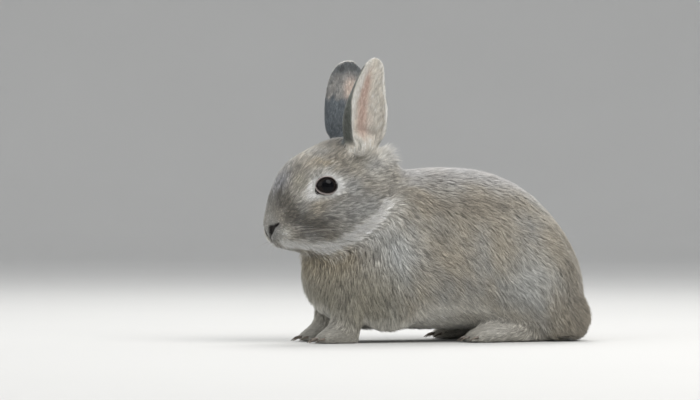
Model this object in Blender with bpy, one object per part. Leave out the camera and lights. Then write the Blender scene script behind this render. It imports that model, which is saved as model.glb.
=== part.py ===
"""A small domestic rabbit of dwarf type, crouching on the floor with its head turned a little to its left.

The solids give the outline of the animal out to the tips of its coat. The body is modelled whole, as closed
forms that are fused, smoothed and trimmed flat where the feet rest, and is then parted with thin cuts.

Frame: +Z is up, the rabbit faces -X and its left side is towards -Y. The floor is z = 0, and the origin is
under the middle of the whole rabbit. The tables below are in millimetres.
"""

import math

import bmesh
import bpy
import numpy as np
from mathutils import Matrix, Vector

MM = 0.001
GAP = 0.3  # between solids that meet
TOUCHING = 1e-4
FUSE_VOXEL = 1.6
TRUNK_SMOOTHING = 40
FUSE_SMOOTHING = 7
FLESH_TRIANGLES = 1950
RING_POINTS = 40
BODY_FULLNESS = 2.15  # 2 is an ellipse
SHARP_ANGLE = math.radians(38)

# Head frame: its axes are forward, left and up, and its origin is on the floor under the point between the eyes.
HEAD_PLACE = Vector((-87.0, -5.0, 0.0))
HEAD_TURN = math.radians(12)

EYE_RADIUS = 8.4
EYE_PLACE = (-0.9, 18.6, 107.8)  # forward, left, up in the head frame

EAR_BASE = {-1: (-30.3, 13.0, 124.0), 1: (-35.6, 12.6, 124.0)}
EAR_TIP = {-1: (-41.0, 24.6, 196.6), 1: (-44.0, 24.6, 196.0)}
EAR_BEND = {-1: 3.0, 1: 0.8}  # how far the middle of an ear lies ahead of the line from base to tip
EAR_DEPTH = 6.0  # how far the back of an ear lies behind that line
EAR_OPENING = {-1: math.radians(86), 1: math.radians(108)}  # from straight ahead, towards the ear's own side
EAR_FLATNESS = 0.65  # depth of the roll as a share of its width
EAR_POINTS = 9  # across a leaf
EAR_PLUG = (12.5, 10.5, 15.0)  # radii of the solid root
EAR_PLUG_AHEAD = 2.0
EAR_PLUG_UP = 0.08  # share of the ear's length

# Sections of the left and the right ear from the root up: share of its length, half width of the roll, half angle
# of the front and of the rear edge in degrees, thickness.
EAR = {
    -1: [
        (0.00, 8.5, 150, 150, 3.6),
        (0.10, 11.0, 146, 138, 3.8),
        (0.22, 14.0, 134, 116, 3.6),
        (0.36, 17.0, 126, 96, 3.2),
        (0.50, 17.3, 116, 84, 2.8),
        (0.64, 15.2, 96, 74, 2.6),
        (0.78, 12.6, 80, 64, 2.4),
        (0.88, 10.8, 66, 57, 2.3),
        (0.95, 9.0, 50, 48, 2.2),
        (0.985, 6.6, 40, 40, 2.0),
        (1.00, 4.0, 30, 30, 1.6),
    ],
    1: [
        (0.00, 7.5, 150, 150, 3.6),
        (0.10, 8.8, 146, 146, 3.8),
        (0.22, 11.4, 126, 124, 3.6),
        (0.36, 14.2, 108, 98, 3.2),
        (0.50, 15.0, 96, 86, 2.8),
        (0.64, 14.9, 86, 78, 2.6),
        (0.78, 14.2, 78, 72, 2.4),
        (0.88, 12.8, 68, 66, 2.3),
        (0.95, 10.6, 56, 56, 2.2),
        (0.985, 7.4, 46, 46, 2.0),
        (1.00, 4.0, 36, 36, 1.6),
    ],
}

# Trunk sections: x, lowest, highest, half width, height of the widest place.
TRUNK = [
    (-90, 44, 60, 8, 52),
    (-87.5, 31, 73, 15, 51),
    (-79, 21, 89, 20.5, 50),
    (-62, 13, 104, 27.5, 50),
    (-38, 9, 116.5, 37, 50),
    (-8, 7.5, 121.5, 44.5, 50),
    (22, 7.5, 122.5, 49, 50),
    (48, 7.5, 118, 51, 50),
    (70, 8, 107.5, 49, 48),
    (88, 8, 91, 43, 44),
    (102, 9, 71.5, 34, 40),
    (110, 13, 54, 23, 34),
    (114.5, 22, 43, 9, 32),
]

# Head sections: forward, lowest, highest, half width, height of the widest place.
HEAD = [
    (34.2, 80, 86, 3.8, 83),
    (33.2, 76.8, 88.2, 7.6, 82),
    (30.6, 71.5, 97, 11.0, 80),
    (26.5, 67, 111, 16.5, 80),
    (22.6, 65, 119, 19.2, 81),
    (15.0, 63.5, 127, 21.8, 85),
    (5.0, 61.5, 132, 24.3, 91),
    (-6.0, 60, 137.5, 27.3, 93),
    (-20.0, 62.0, 142.5, 31, 90),
    (-34.0, 66.5, 142, 33.8, 89),
    (-48.0, 75, 137, 33, 94),
    (-60.0, 87, 131, 25, 103),
    (-66.5, 98, 121, 10, 109),
]

# Rounded forms: centre, radii, and how far the form leans back in degrees. Those of a pair are given for one side.
MIDDLE_FORMS = {
    "nape": ((-41, 1, 90), (40, 27, 32), 52),
    "tail": ((102, 0, 22), (13, 14, 18), 20),
}
PAIRED_FORMS = {
    "shoulder": ((-36, 18, 50), (31, 21, 36), 0),
    "elbow": ((-35, 22, 30), (25, 14, 25), 0),
    "thigh": ((63, 31, 46), (41, 23, 36), 35),
    "haunch": ((88, 32, 17), (25, 15, 22), 0),
}
HEAD_FORMS = {  # in the head frame
    "whisker_pad": ((21, 9.4, 77), (9, 9, 8.8), 0),
    "brow": ((-4, 14.5, 115.5), (15, 8.5, 10), 0),
    "ear_root": ((-33, 15, 126), (14, 12, 14), 0),
}
CHIN = ((19.5, 0, 70), (8, 9.5, 6.2))  # in the head frame

FOOT_SOLE = -1.5
FOOT_WIDEST = 0.3  # share of a foot's height
FOOT_FULLNESS = 2.4

# Hind foot sections: x from the heel to the toes, half width, height.
HIND_FOOT = [(106, 3, 6), (102, 8, 15), (91, 10.5, 19), (70, 11, 18), (46, 11.5, 15.5), (30, 11, 12), (22, 9, 9)]
HIND_FOOT_OUT = 37.0
HIND_FOOT_SPLAY = math.radians(6)

# Foreleg sections from the elbow down: x, height, radius along x, radius across.
FORELEG = [
    (-43, 62, 24, 16),
    (-50, 46, 22, 15.5),
    (-57, 32, 18, 14),
    (-62.5, 20, 14, 12),
    (-66, 10, 11, 10.5),
    (-67, -2, 9, 9),
]
FORELEG_OUT = 19.0
FOREPAW = [(-57, 6, 9), (-65, 9.5, 15), (-74, 10, 13.5), (-81, 9, 10), (-85.5, 5, 6)]

TOE_FORE = dict(length=9.0, radius=4.2, spread=(-6.6, -2.3, 2.3, 6.6), reach=(-85, -88.5, -88.5, -84.5))
TOE_HIND = dict(length=12.0, radius=5.0, spread=(-8.1, -2.8, 2.8, 8.1), reach=(20.0, 15.5, 15.5, 20.5))
CLAW = dict(length=6.5, radius=1.15, droop=0.42)
CLAW_SIDES = 6

# Cuts between the nodes: two points of each slanting plane, in x and height.
HEAD_REGION = ((18, 0, 112), (78, 61, 55))  # in the head frame
NECK_CUT = ((8, 123), (-92, 36))
WRIST_CUT = ((-57, 8), (-75, 17))

HIND_FOOT_BOX = ((12, -16, -6), (118, 16, 15.5))  # in the foot's own place
FORELEG_BOX = ((-101, -15, -6), (-41, 24, 27))
THIGH_REGION = ((62, 50, 44), (43, 26, 38))
TAIL_REGION = ((107, 0, 21), (14, 15, 20))
NOSE_PLACE = (34, 0, 83)  # in the head frame
NOSE_RADII = (5, 6.5, 5)
JAW_PLACE = (10, 0, 60)
JAW_RADII = (18, 13, 7)

FUR = (0.46, 0.43, 0.38, 1)
FUR_PALE = (0.66, 0.65, 0.62, 1)
EAR_SKIN = (0.55, 0.42, 0.36, 1)
NOSE_SKIN = (0.34, 0.27, 0.24, 1)
EYE_DARK = (0.015, 0.012, 0.012, 1)
CLAW_HORN = (0.20, 0.16, 0.12, 1)


def material(name, colour, roughness):
    made = bpy.data.materials.new(name)
    made.use_nodes = True
    shader = made.node_tree.nodes["Principled BSDF"]
    shader.inputs["Base Color"].default_value = colour
    shader.inputs["Roughness"].default_value = roughness
    shader.inputs["Metallic"].default_value = 0.0
    made.diffuse_color = colour
    return made


def head_matrix():
    """From the head frame (forward, left, up) to the rabbit's frame."""
    c, s = math.cos(HEAD_TURN), math.sin(HEAD_TURN)
    turn = Matrix(((-c, s, 0), (-s, -c, 0), (0, 0, 1))).to_4x4()
    return Matrix.Translation(HEAD_PLACE) @ turn


def smooth_through(stations, steps):
    """A smooth curve through rows of numbers, with steps pieces between each two rows."""
    keys = np.array(stations, float)
    chord = np.linalg.norm(np.diff(keys, axis=0), axis=1)
    at = np.concatenate([[0.0], np.cumsum(chord)])
    slope = np.gradient(keys, at, axis=0)
    rows = []
    for i, span in enumerate(chord):
        for t in np.arange(steps) / steps:
            rows.append(
                (1 + 2 * t) * (1 - t) ** 2 * keys[i]
                + t * (1 - t) ** 2 * span * slope[i]
                + t * t * (3 - 2 * t) * keys[i + 1]
                + t * t * (t - 1) * span * slope[i + 1]
            )
    rows.append(keys[-1])
    return rows


def new_object(name, bm):
    bmesh.ops.recalc_face_normals(bm, faces=bm.faces)
    mesh = bpy.data.meshes.new(name)
    bm.to_mesh(mesh)
    bm.free()
    made = bpy.data.objects.new(name, mesh)
    bpy.context.scene.collection.objects.link(made)
    return made


def skin_rings(bm, rings):
    """Joins rings of points into a closed tube with flat ends."""
    loops = [[bm.verts.new(p) for p in ring] for ring in rings]
    for one, two in zip(loops, loops[1:]):
        for i in range(len(one)):
            j = (i + 1) % len(one)
            bm.faces.new((one[i], one[j], two[j], two[i]))
    bm.faces.new(loops[0][::-1])
    bm.faces.new(loops[-1])


def section(x, lowest, highest, half_width, widest, fullness=BODY_FULLNESS):
    """An upright oval across x: two half superellipses that meet at the widest height."""
    points = []
    for a in np.linspace(0, 2 * math.pi, RING_POINTS, endpoint=False):
        c, s = math.cos(a), math.sin(a)
        reach = highest - widest if s > 0 else widest - lowest
        y = half_width * math.copysign(abs(c) ** (2 / fullness), c)
        z = widest + reach * math.copysign(abs(s) ** (2 / fullness), s)
        points.append(Vector((x, y, z)))
    return points


def add_loft(bm, stations, place=Matrix(), fullness=BODY_FULLNESS):
    rows = smooth_through(stations, 4)
    skin_rings(bm, [[place @ p for p in section(*row, fullness)] for row in rows])


def add_ellipsoid(bm, centre, radii, turn=Matrix(), place=Matrix(), segments=28):
    shape = place @ Matrix.Translation(centre) @ turn @ Matrix.Diagonal((*radii, 1))
    bmesh.ops.create_uvsphere(bm, u_segments=segments, v_segments=segments // 2, radius=1, matrix=shape)


def add_foot(bm, stations, place):
    """A foot along x with a flat sole just under the floor, which trims it."""
    rows = [(x, FOOT_SOLE, height, width, FOOT_WIDEST * height) for x, width, height in stations]
    add_loft(bm, rows, place, fullness=FOOT_FULLNESS)


def add_toes(bm, kind, place):
    for across, reach in zip(kind["spread"], kind["reach"]):
        centre = (reach + kind["length"] / 2, across, kind["radius"] * 0.7)
        add_ellipsoid(bm, centre, (kind["length"] / 2, kind["radius"] * 0.8, kind["radius"]), place=place)


def hind_foot_place(side):
    return Matrix.Translation((0, side * HIND_FOOT_OUT, 0)) @ Matrix.Rotation(-side * HIND_FOOT_SPLAY, 4, "Z")


def fore_place(side):
    return Matrix.Translation((0, side * FORELEG_OUT, 0))


def add_foreleg(bm, place):
    rings = []
    for x, z, along, across in smooth_through(FORELEG, 4):
        centre = place @ Vector((x, 0, z))
        angles = np.linspace(0, 2 * math.pi, RING_POINTS, endpoint=False)
        rings.append([centre + Vector((along * math.cos(a), across * math.sin(a), 0)) for a in angles])
    skin_rings(bm, rings)


def add_form(bm, form, side, place=Matrix()):
    """Adds one row of a table of forms; side is 1 or -1, and turns the form to that side of the middle."""
    (ahead, out, up), radii, lean = form
    turn = Matrix.Rotation(math.radians(lean), 4, "Y")
    add_ellipsoid(bm, (ahead, side * out, up), radii, turn, place)


def trunk_forms():
    """The closed forms that make up the trunk and the haunches, one inside the other where they join."""
    bm = bmesh.new()
    add_loft(bm, TRUNK)
    for form in MIDDLE_FORMS.values():
        add_form(bm, form, 1)
    for form in PAIRED_FORMS.values():
        for side in (-1, 1):
            add_form(bm, form, side)
    return bm


def add_head_and_limbs(bm):
    head = head_matrix()
    add_loft(bm, HEAD, head)
    add_ellipsoid(bm, *CHIN, place=head)
    for side in (-1, 1):
        for form in HEAD_FORMS.values():
            add_form(bm, form, side, head)
        add_foreleg(bm, fore_place(side))
        add_foot(bm, FOREPAW, fore_place(side))
        add_toes(bm, TOE_FORE, fore_place(side))
        add_foot(bm, HIND_FOOT, hind_foot_place(side))
        add_toes(bm, TOE_HIND, hind_foot_place(side))


def evaluated(shape, name):
    """A new object that holds what shape looks like with its modifiers; shape is removed."""
    graph = bpy.context.evaluated_depsgraph_get()
    mesh = bpy.data.meshes.new_from_object(shape.evaluated_get(graph))
    bpy.data.objects.remove(shape)
    mesh.name = name
    made = bpy.data.objects.new(name, mesh)
    bpy.context.scene.collection.objects.link(made)
    return made


def fused(shape, smoothing, name):
    """Forms that run into each other, as one smooth closed surface."""
    remesh = shape.modifiers.new("Fuse", "REMESH")
    remesh.mode = "VOXEL"
    remesh.voxel_size = FUSE_VOXEL
    smooth = shape.modifiers.new("Smooth", "SMOOTH")
    smooth.factor = 0.5
    smooth.iterations = smoothing
    return evaluated(shape, name)


def whole_body():
    """The body without ears and eyes, smoothed, with few triangles and flat where it rests on the floor."""
    trunk = fused(new_object("trunk_forms", trunk_forms()), TRUNK_SMOOTHING, "trunk_forms")
    bm = bmesh.new()
    bm.from_mesh(trunk.data)
    bpy.data.objects.remove(trunk)
    add_head_and_limbs(bm)
    whole = fused(new_object("whole", bm), FUSE_SMOOTHING, "whole")
    fewer = whole.modifiers.new("Fewer", "DECIMATE")
    fewer.ratio = FLESH_TRIANGLES / (2 * len(whole.data.polygons))
    whole = evaluated(whole, "whole")
    trimmed = kept_side(whole, "body", Vector((0, 0, 0)), Vector((0, 0, 1)))
    bpy.data.objects.remove(whole)
    return trimmed


def kept_side(shape, name, point, normal):
    """A copy of shape with only what lies on the normal's side of a plane, closed with a flat cap."""
    bm = bmesh.new()
    bm.from_mesh(shape.data)
    geometry = bm.verts[:] + bm.edges[:] + bm.faces[:]
    bmesh.ops.bisect_plane(bm, geom=geometry, dist=TOUCHING, plane_co=point, plane_no=normal, clear_inner=True)
    rim = [e for e in bm.edges if e.is_boundary]
    bmesh.ops.triangle_fill(bm, edges=rim, use_beauty=True, normal=-normal)
    bmesh.ops.triangulate(bm, faces=bm.faces)
    return new_object(name, bm)


def parted(shape, name, point, normal):
    """Cuts shape in two with a plane; what is on the normal's side becomes name, and the rest is handed back."""
    normal = normal.normalized()
    half = normal * GAP / 2
    kept_side(shape, name, point + half, normal)
    rest = kept_side(shape, shape.name + "_rest", point - half, -normal)
    bpy.data.objects.remove(shape)
    return rest


def boolean(shape, cutter, operation, name):
    copy = shape.copy()
    bpy.context.scene.collection.objects.link(copy)
    cut = copy.modifiers.new("Cut", "BOOLEAN")
    cut.operation = operation
    cut.object = cutter
    cut.solver = "EXACT"
    return evaluated(copy, name)


def carved(shape, name, region):
    """Takes what is inside a region out of shape as name. region(grown) makes the cutter, grown by that much."""
    inner, outer = region(0.0), region(GAP)
    boolean(shape, inner, "INTERSECT", name)
    rest = boolean(shape, outer, "DIFFERENCE", shape.name + "_rest")
    for used in (inner, outer, shape):
        bpy.data.objects.remove(used)
    return rest


def ellipsoid_region(centre, radii, turn=Matrix(), place=Matrix(), segments=16):
    def region(grown):
        bm = bmesh.new()
        add_ellipsoid(bm, centre, [r + grown for r in radii], turn, place, segments)
        return new_object("region", bm)

    return region


def box_region(low, high, place=Matrix()):
    def region(grown):
        bm = bmesh.new()
        centre = [(a + b) / 2 for a, b in zip(low, high)]
        size = [b - a + 2 * grown for a, b in zip(low, high)]
        shape = place @ Matrix.Translation(centre) @ Matrix.Diagonal((*size, 1))
        bmesh.ops.create_cube(bm, size=1, matrix=shape)
        return new_object("region", bm)

    return region


def ear_axes(side):
    """Root and tip of an ear in the head frame, and the directions along it and out of its opening."""
    ahead, out, up = EAR_BASE[side]
    base = Vector((ahead, -side * out, up))
    ahead, out, up = EAR_TIP[side]
    tip = Vector((ahead, -side * out, up))
    along = (tip - base).normalized()
    ahead = Vector((math.cos(EAR_OPENING[side]), -side * math.sin(EAR_OPENING[side]), 0))
    opening = (ahead - along * ahead.dot(along)).normalized()
    return base, tip, along, opening


def ear_sheet(side, grown):
    """An ear's leaf: a sheet rolled round a line from root to tip, with a C-shaped section."""
    base, tip, along, opening = ear_axes(side)
    across = along.cross(opening)
    rings = []
    for share, width, front, rear, thick in smooth_through(EAR[side], 2):
        bow = EAR_BEND[side] * math.sin(math.pi * min(share, 1.0))
        middle = base.lerp(tip, share) + Vector((bow, 0, 0)) - opening * EAR_DEPTH
        axis = middle + opening * float(width * EAR_FLATNESS)
        edges = (-front, rear) if side < 0 else (-rear, front)
        angles = [math.radians(a) for a in np.linspace(*edges, EAR_POINTS)]
        spokes = [(across * math.sin(a), -opening * math.cos(a)) for a in angles]
        leaf = []
        for outside in (grown, -thick - grown):
            wide, deep = float(width + outside), float(width * EAR_FLATNESS + outside)
            leaf.append([axis + sideways * wide + inwards * deep for sideways, inwards in spokes])
        rings.append([head_matrix() @ p for p in leaf[0] + leaf[1][::-1]])
    bm = bmesh.new()
    skin_rings(bm, rings)
    return new_object("ear_sheet", bm)


def ear_region(side):
    """An ear's leaf and solid root as one body, grown by a given amount."""

    def region(grown):
        base, tip, _, opening = ear_axes(side)
        centre = base.lerp(tip, EAR_PLUG_UP) + opening * EAR_PLUG_AHEAD
        bm = bmesh.new()
        add_ellipsoid(bm, centre, [r + grown for r in EAR_PLUG], place=head_matrix(), segments=12)
        root, leaf = new_object("ear_root", bm), ear_sheet(side, grown)
        joined = boolean(leaf, root, "UNION", "ear")
        for used in (root, leaf):
            bpy.data.objects.remove(used)
        return joined

    return region


def eye_region(side):
    centre = (EYE_PLACE[0], -side * EYE_PLACE[1], EYE_PLACE[2])
    return ellipsoid_region(centre, (EYE_RADIUS,) * 3, place=head_matrix(), segments=16)


def claw_forms(kind, place, grown):
    """One closed claw in front of each toe, as a list of rings of points."""
    claws = []
    for across, reach in zip(kind["spread"], kind["reach"]):
        root = Vector((reach + 2.0, across, kind["radius"] * 0.8))
        rings = []
        for t in (-grown / CLAW["length"], 0.5, 1.0):
            radius = CLAW["radius"] * (1 - 0.75 * max(t, 0.0)) + grown
            centre = root + Vector((-CLAW["length"] * t, 0, -CLAW["length"] * CLAW["droop"] * max(t, 0.0) ** 2))
            turns = [2 * math.pi * i / CLAW_SIDES for i in range(CLAW_SIDES)]
            rings.append([place @ (centre + Vector((0, radius * math.cos(a), radius * math.sin(a)))) for a in turns])
        claws.append(rings)
    return claws


def with_claws(shape, kind, place, stem):
    """Adds the claws of a foot, and takes them with their gaps out of the foot."""
    for number, rings in enumerate(claw_forms(kind, place, 0.0), 1):
        bm = bmesh.new()
        skin_rings(bm, rings)
        new_object(f"{stem}_{number}", bm)
    bm = bmesh.new()
    for rings in claw_forms(kind, place, GAP):
        skin_rings(bm, rings)
    cutter = new_object("claw_cutter", bm)
    foot = boolean(shape, cutter, "DIFFERENCE", "foot")
    name = shape.name
    for used in (shape, cutter):
        bpy.data.objects.remove(used)
    foot.name = name
    return foot


def slanting(cut, ahead):
    """A point and the normal of a cutting plane, given in x and height; ahead is the side the normal faces."""
    (x0, z0), (x1, z1) = cut
    normal = Vector((z0 - z1, 0, x1 - x0)).normalized()
    if normal.dot(Vector(ahead)) < 0:
        normal = -normal
    return Vector((x0, 0, z0)), normal


def part_head(head_object):
    """Parts the head: eyes, ears, nose and lower jaw."""
    head = head_matrix()
    rest = head_object
    for side, word in ((-1, "left"), (1, "right")):
        for name, region in ((f"ear_{word}", ear_region(side)), (f"eye_{word}", eye_region(side))):
            region(0.0).name = name
            grown = region(GAP)
            less = boolean(rest, grown, "DIFFERENCE", "head")
            for used in (rest, grown):
                bpy.data.objects.remove(used)
            rest = less
    rest = carved(rest, "nose", ellipsoid_region(NOSE_PLACE, NOSE_RADII, place=head))
    rest = carved(rest, "lower_jaw", ellipsoid_region(JAW_PLACE, JAW_RADII, place=head))
    rest.name = "head"


def part_limbs(rest):
    """Parts the feet, forelegs, thighs and tail from the trunk."""
    for side, word in ((-1, "left"), (1, "right")):
        low, high = HIND_FOOT_BOX
        rest = carved(rest, f"hind_foot_{word}", box_region(low, high, hind_foot_place(side)))
        (x0, inner, z0), (x1, outer, z1) = FORELEG_BOX
        low, high = (x0, min(side * inner, side * outer), z0), (x1, max(side * inner, side * outer), z1)
        rest = carved(rest, f"foreleg_{word}", box_region(low, high, fore_place(side)))
        place, radii = THIGH_REGION
        lean = Matrix.Rotation(math.radians(PAIRED_FORMS["thigh"][2]), 4, "Y")
        region = ellipsoid_region((place[0], side * place[1], place[2]), radii, lean)
        rest = carved(rest, f"thigh_{word}", region)
        with_claws(bpy.data.objects[f"hind_foot_{word}"], TOE_HIND, hind_foot_place(side), f"claw_hind_{word}")
        leg = bpy.data.objects[f"foreleg_{word}"]
        wrist, down = slanting(WRIST_CUT, (0, 0, -1))
        upper = parted(leg, f"forepaw_{word}", wrist, down)
        upper.name = f"foreleg_{word}"
        with_claws(bpy.data.objects[f"forepaw_{word}"], TOE_FORE, fore_place(side), f"claw_fore_{word}")
    rest = carved(rest, "tail", ellipsoid_region(*TAIL_REGION))
    rest.name = "trunk"


def finished(shape, looks):
    """Gives a node its material and smooth shading with sharp cut edges."""
    mesh = shape.data
    mesh.name = shape.name
    mesh.materials.clear()
    mesh.materials.append(looks)
    mesh.polygons.foreach_set("use_smooth", [True] * len(mesh.polygons))
    mesh.set_sharp_from_angle(angle=SHARP_ANGLE)


def looks_for(name, made):
    for start, slot in (("eye", "eye"), ("claw", "claw"), ("nose", "nose"), ("ear", "ear"), ("tail", "fur_pale")):
        if name.startswith(start):
            return made[slot]
    return made["fur_pale"] if name == "lower_jaw" else made["fur"]


def settle(shapes):
    """Puts the origin under the middle of the whole and turns millimetres into metres."""
    points = [v.co for shape in shapes for v in shape.data.vertices]
    middle = [(min(p[i] for p in points) + max(p[i] for p in points)) / 2 for i in (0, 1)]
    shift = Matrix.Translation((-middle[0], -middle[1], 0))
    for shape in shapes:
        shape.data.transform(Matrix.Scale(MM, 4) @ shift)
        shape.data.update()


def main():
    for old in list(bpy.data.objects):
        bpy.data.objects.remove(old)
    made = {
        "fur": material("fur", FUR, 0.9),
        "fur_pale": material("fur_pale", FUR_PALE, 0.9),
        "ear": material("ear", EAR_SKIN, 0.8),
        "nose": material("nose", NOSE_SKIN, 0.55),
        "eye": material("eye", EYE_DARK, 0.08),
        "claw": material("claw", CLAW_HORN, 0.4),
    }
    rest = whole_body()
    rest = carved(rest, "head", ellipsoid_region(*HEAD_REGION, place=head_matrix(), segments=20))
    rest = parted(rest, "neck", *slanting(NECK_CUT, (-1, 0, 1)))
    part_limbs(rest)
    part_head(bpy.data.objects["head"])
    shapes = list(bpy.data.objects)
    settle(shapes)
    for shape in shapes:
        finished(shape, looks_for(shape.name, made))


main()
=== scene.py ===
"""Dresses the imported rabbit: one skin, a coat of solid mesh tufts, eyes with lids, claws and whiskers.

The rabbit faces -X and its left side is towards -Y. Lengths are in millimetres until a mesh is made.
A head place is forward, left and up of the point on the floor below the middle between the eyes.
"""

import math

import bmesh
import bpy
import numpy as np
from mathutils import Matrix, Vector
from mathutils.bvhtree import BVHTree
from mathutils.kdtree import KDTree


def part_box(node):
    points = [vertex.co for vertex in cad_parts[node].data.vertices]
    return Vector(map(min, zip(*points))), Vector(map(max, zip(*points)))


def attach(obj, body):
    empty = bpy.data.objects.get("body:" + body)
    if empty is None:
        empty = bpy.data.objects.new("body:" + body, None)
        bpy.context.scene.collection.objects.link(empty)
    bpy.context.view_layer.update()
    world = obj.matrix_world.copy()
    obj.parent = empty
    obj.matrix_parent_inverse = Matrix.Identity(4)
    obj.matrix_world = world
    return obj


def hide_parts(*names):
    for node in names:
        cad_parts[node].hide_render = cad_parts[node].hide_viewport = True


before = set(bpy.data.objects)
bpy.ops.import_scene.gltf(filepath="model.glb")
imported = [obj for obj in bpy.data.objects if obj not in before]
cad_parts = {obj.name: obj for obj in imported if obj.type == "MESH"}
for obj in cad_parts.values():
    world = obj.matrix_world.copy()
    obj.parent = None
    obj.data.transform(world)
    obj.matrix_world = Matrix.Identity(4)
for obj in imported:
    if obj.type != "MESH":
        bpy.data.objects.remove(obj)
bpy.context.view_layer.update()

METRE = 1000.0
UP = np.array([0.0, 0.0, 1.0])
SIDES = {"left": -1, "right": 1}

# -------- the regions of the body
# Each region's coat: how deep it is, how long and how wide a tuft is, bending and straight tufts per
# square millimetre, how far apart clumps are, how strongly tips draw together in a clump, how much
# clumps differ in shade, and the share of dark tips.
COAT_COLUMNS = ["depth", "length", "width", "bending", "straight", "spacing", "pull", "shade", "dark"]
COAT_ROWS = {
    "face": (1.7, 5.0, 0.36, 0.0, 5.2, 1.15, 0.7, 0.33, 0.2),
    "ear": (0.6, 3.2, 0.30, 0.0, 5.0, 1.2, 0.35, 0.26, 0.12),
    "neck": (4.2, 8.8, 0.46, 1.1, 2.4, 1.5, 0.36, 0.19, 0.16),
    "trunk": (4.6, 10.0, 0.47, 1.0, 2.1, 1.6, 0.38, 0.17, 0.17),
    "thigh": (4.2, 9.5, 0.48, 1.0, 2.1, 1.65, 0.36, 0.16, 0.14),
    "tail": (4.5, 11.0, 0.6, 0.9, 1.6, 2.4, 0.5, 0.12, 0.15),
    "foreleg": (3.0, 8.0, 0.5, 0.8, 1.8, 2.0, 0.5, 0.15, 0.2),
    "paw": (1.1, 3.4, 0.42, 0.0, 3.6, 1.4, 0.3, 0.08, 0.06),
    "foot": (1.6, 5.5, 0.5, 0.15, 2.2, 1.7, 0.35, 0.09, 0.06),
}
REGIONS = list(COAT_ROWS)
COAT_TABLE = dict(zip(COAT_COLUMNS, np.array(list(COAT_ROWS.values())).T.copy()))
EAR_COAT = dict(zip(COAT_COLUMNS, COAT_ROWS["ear"]))
# Which way the hairs lie in each region; the face and the ears have rules of their own.
LIE = dict(face=(1, 0, 0), ear=(0, 0, 1), neck=(0.8, 0, -0.6), trunk=(0.85, 0, -0.8), thigh=(0.75, 0, -0.9),
           tail=(1, 0, 0.3), foreleg=(0.1, 0, -1), paw=(-1, 0, -0.15), foot=(-1, 0, -0.1))

REGION_OF = dict(head="face", lower_jaw="face", nose="face", neck="neck", trunk="trunk", tail="tail")
for side in SIDES:
    REGION_OF.update({f"ear_{side}": "ear", f"eye_{side}": "face", f"thigh_{side}": "thigh",
                      f"foreleg_{side}": "foreleg", f"forepaw_{side}": "paw", f"hind_foot_{side}": "foot"})
EYES = [f"eye_{side}" for side in SIDES]
FLESH = [node for node in REGION_OF if node not in EYES]
CLAWS = [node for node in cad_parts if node.startswith("claw_")]


# -------- the head's own axes
def millimetres(vector):
    """A point in metres as an array in millimetres."""
    return np.array(vector, float) * METRE


def middle(node):
    """The middle of a node's box."""
    low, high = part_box(node)
    return millimetres((low + high) / 2)


EYE_CENTRE = {side: middle(f"eye_{side}") for side in SIDES}
EYE_LOW, EYE_HIGH = (millimetres(corner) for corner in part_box("eye_left"))
EYE_RADIUS = (EYE_HIGH - EYE_LOW)[2] / 2
BETWEEN_EYES = EYE_CENTRE["left"] - EYE_CENTRE["right"]
HEAD_LEFT = BETWEEN_EYES / np.linalg.norm(BETWEEN_EYES)
HEAD_FORWARD = np.cross(HEAD_LEFT, UP)
HEAD_ORIGIN = (EYE_CENTRE["left"] + EYE_CENTRE["right"]) / 2 * np.array([1, 1, 0])


def to_head(points):
    """World points as head places."""
    offset = points - HEAD_ORIGIN
    return np.stack([offset @ HEAD_FORWARD, offset @ HEAD_LEFT, offset @ UP], 1)


def from_head(forward, left, up):
    """A head place as a world point."""
    return HEAD_ORIGIN + forward * HEAD_FORWARD + left * HEAD_LEFT + up * UP


def mirrored(points, middle_plane=0.0):
    """Places with the right side folded onto the left."""
    folded = points.copy()
    folded[:, 1] = np.abs(folded[:, 1] - middle_plane)
    return folded


NOSE_TIP = to_head(middle("nose")[None])[0]
# Where the skin gets finer faces: centre and radius.
FINER_PLACES = [(EYE_CENTRE["left"], 14.0), (EYE_CENTRE["right"], 14.0), (from_head(*NOSE_TIP), 13.0)]


# -------- small numeric tools
WAVE_COUNT = 14


def unit(vectors):
    """Each row at length one."""
    return vectors / np.maximum(np.linalg.norm(vectors, axis=1), 1e-9)[:, None]


def tangent(vectors, normals):
    """Unit vectors laid flat on the surface."""
    return unit(vectors - normals * (vectors * normals).sum(1)[:, None])


def swung(angles, first, second):
    """Vectors turned by angles from one unit vector towards another that is square to it."""
    return np.cos(angles)[:, None] * first + np.sin(angles)[:, None] * second


def distance(points, place):
    """How far points lie from a place."""
    return np.linalg.norm(points - place, axis=1)


def capped(value):
    """A value kept between 0 and 1."""
    return np.clip(value, 0, 1)


def ramp(value, low, high):
    """0 below low, 1 above high, and smooth between."""
    share = capped((value - low) / (high - low))
    return share * share * (3 - 2 * share)


def fall(value, low, high):
    """1 below low and 0 above high."""
    return 1 - ramp(value, low, high)


def blob(points, centre, radii):
    """1 at the centre of an ellipsoid, falling smoothly to 0 at its radii."""
    return fall(np.linalg.norm((points - np.array(centre)) / np.array(radii), axis=1), 0, 1)


def waves(points, length, seed):
    """A smooth random field about one high, whose features are about length across."""
    draw = np.random.default_rng(seed)
    directions = unit(draw.normal(size=(WAVE_COUNT, 3)))
    speeds = draw.uniform(0.6, 1.5, WAVE_COUNT) * 2 * math.pi / length
    phases = draw.uniform(0, 2 * math.pi, WAVE_COUNT)
    return np.cos(points @ (directions * speeds[:, None]).T + phases).sum(1) * math.sqrt(2 / WAVE_COUNT)


def blend(first, second, share):
    """First turned into second by a share."""
    return first + (second - first) * share


def mix(first, second, share):
    """The same for colours or directions, each one row or a row for each point."""
    return blend(np.asarray(first), np.asarray(second), share[:, None])


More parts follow.
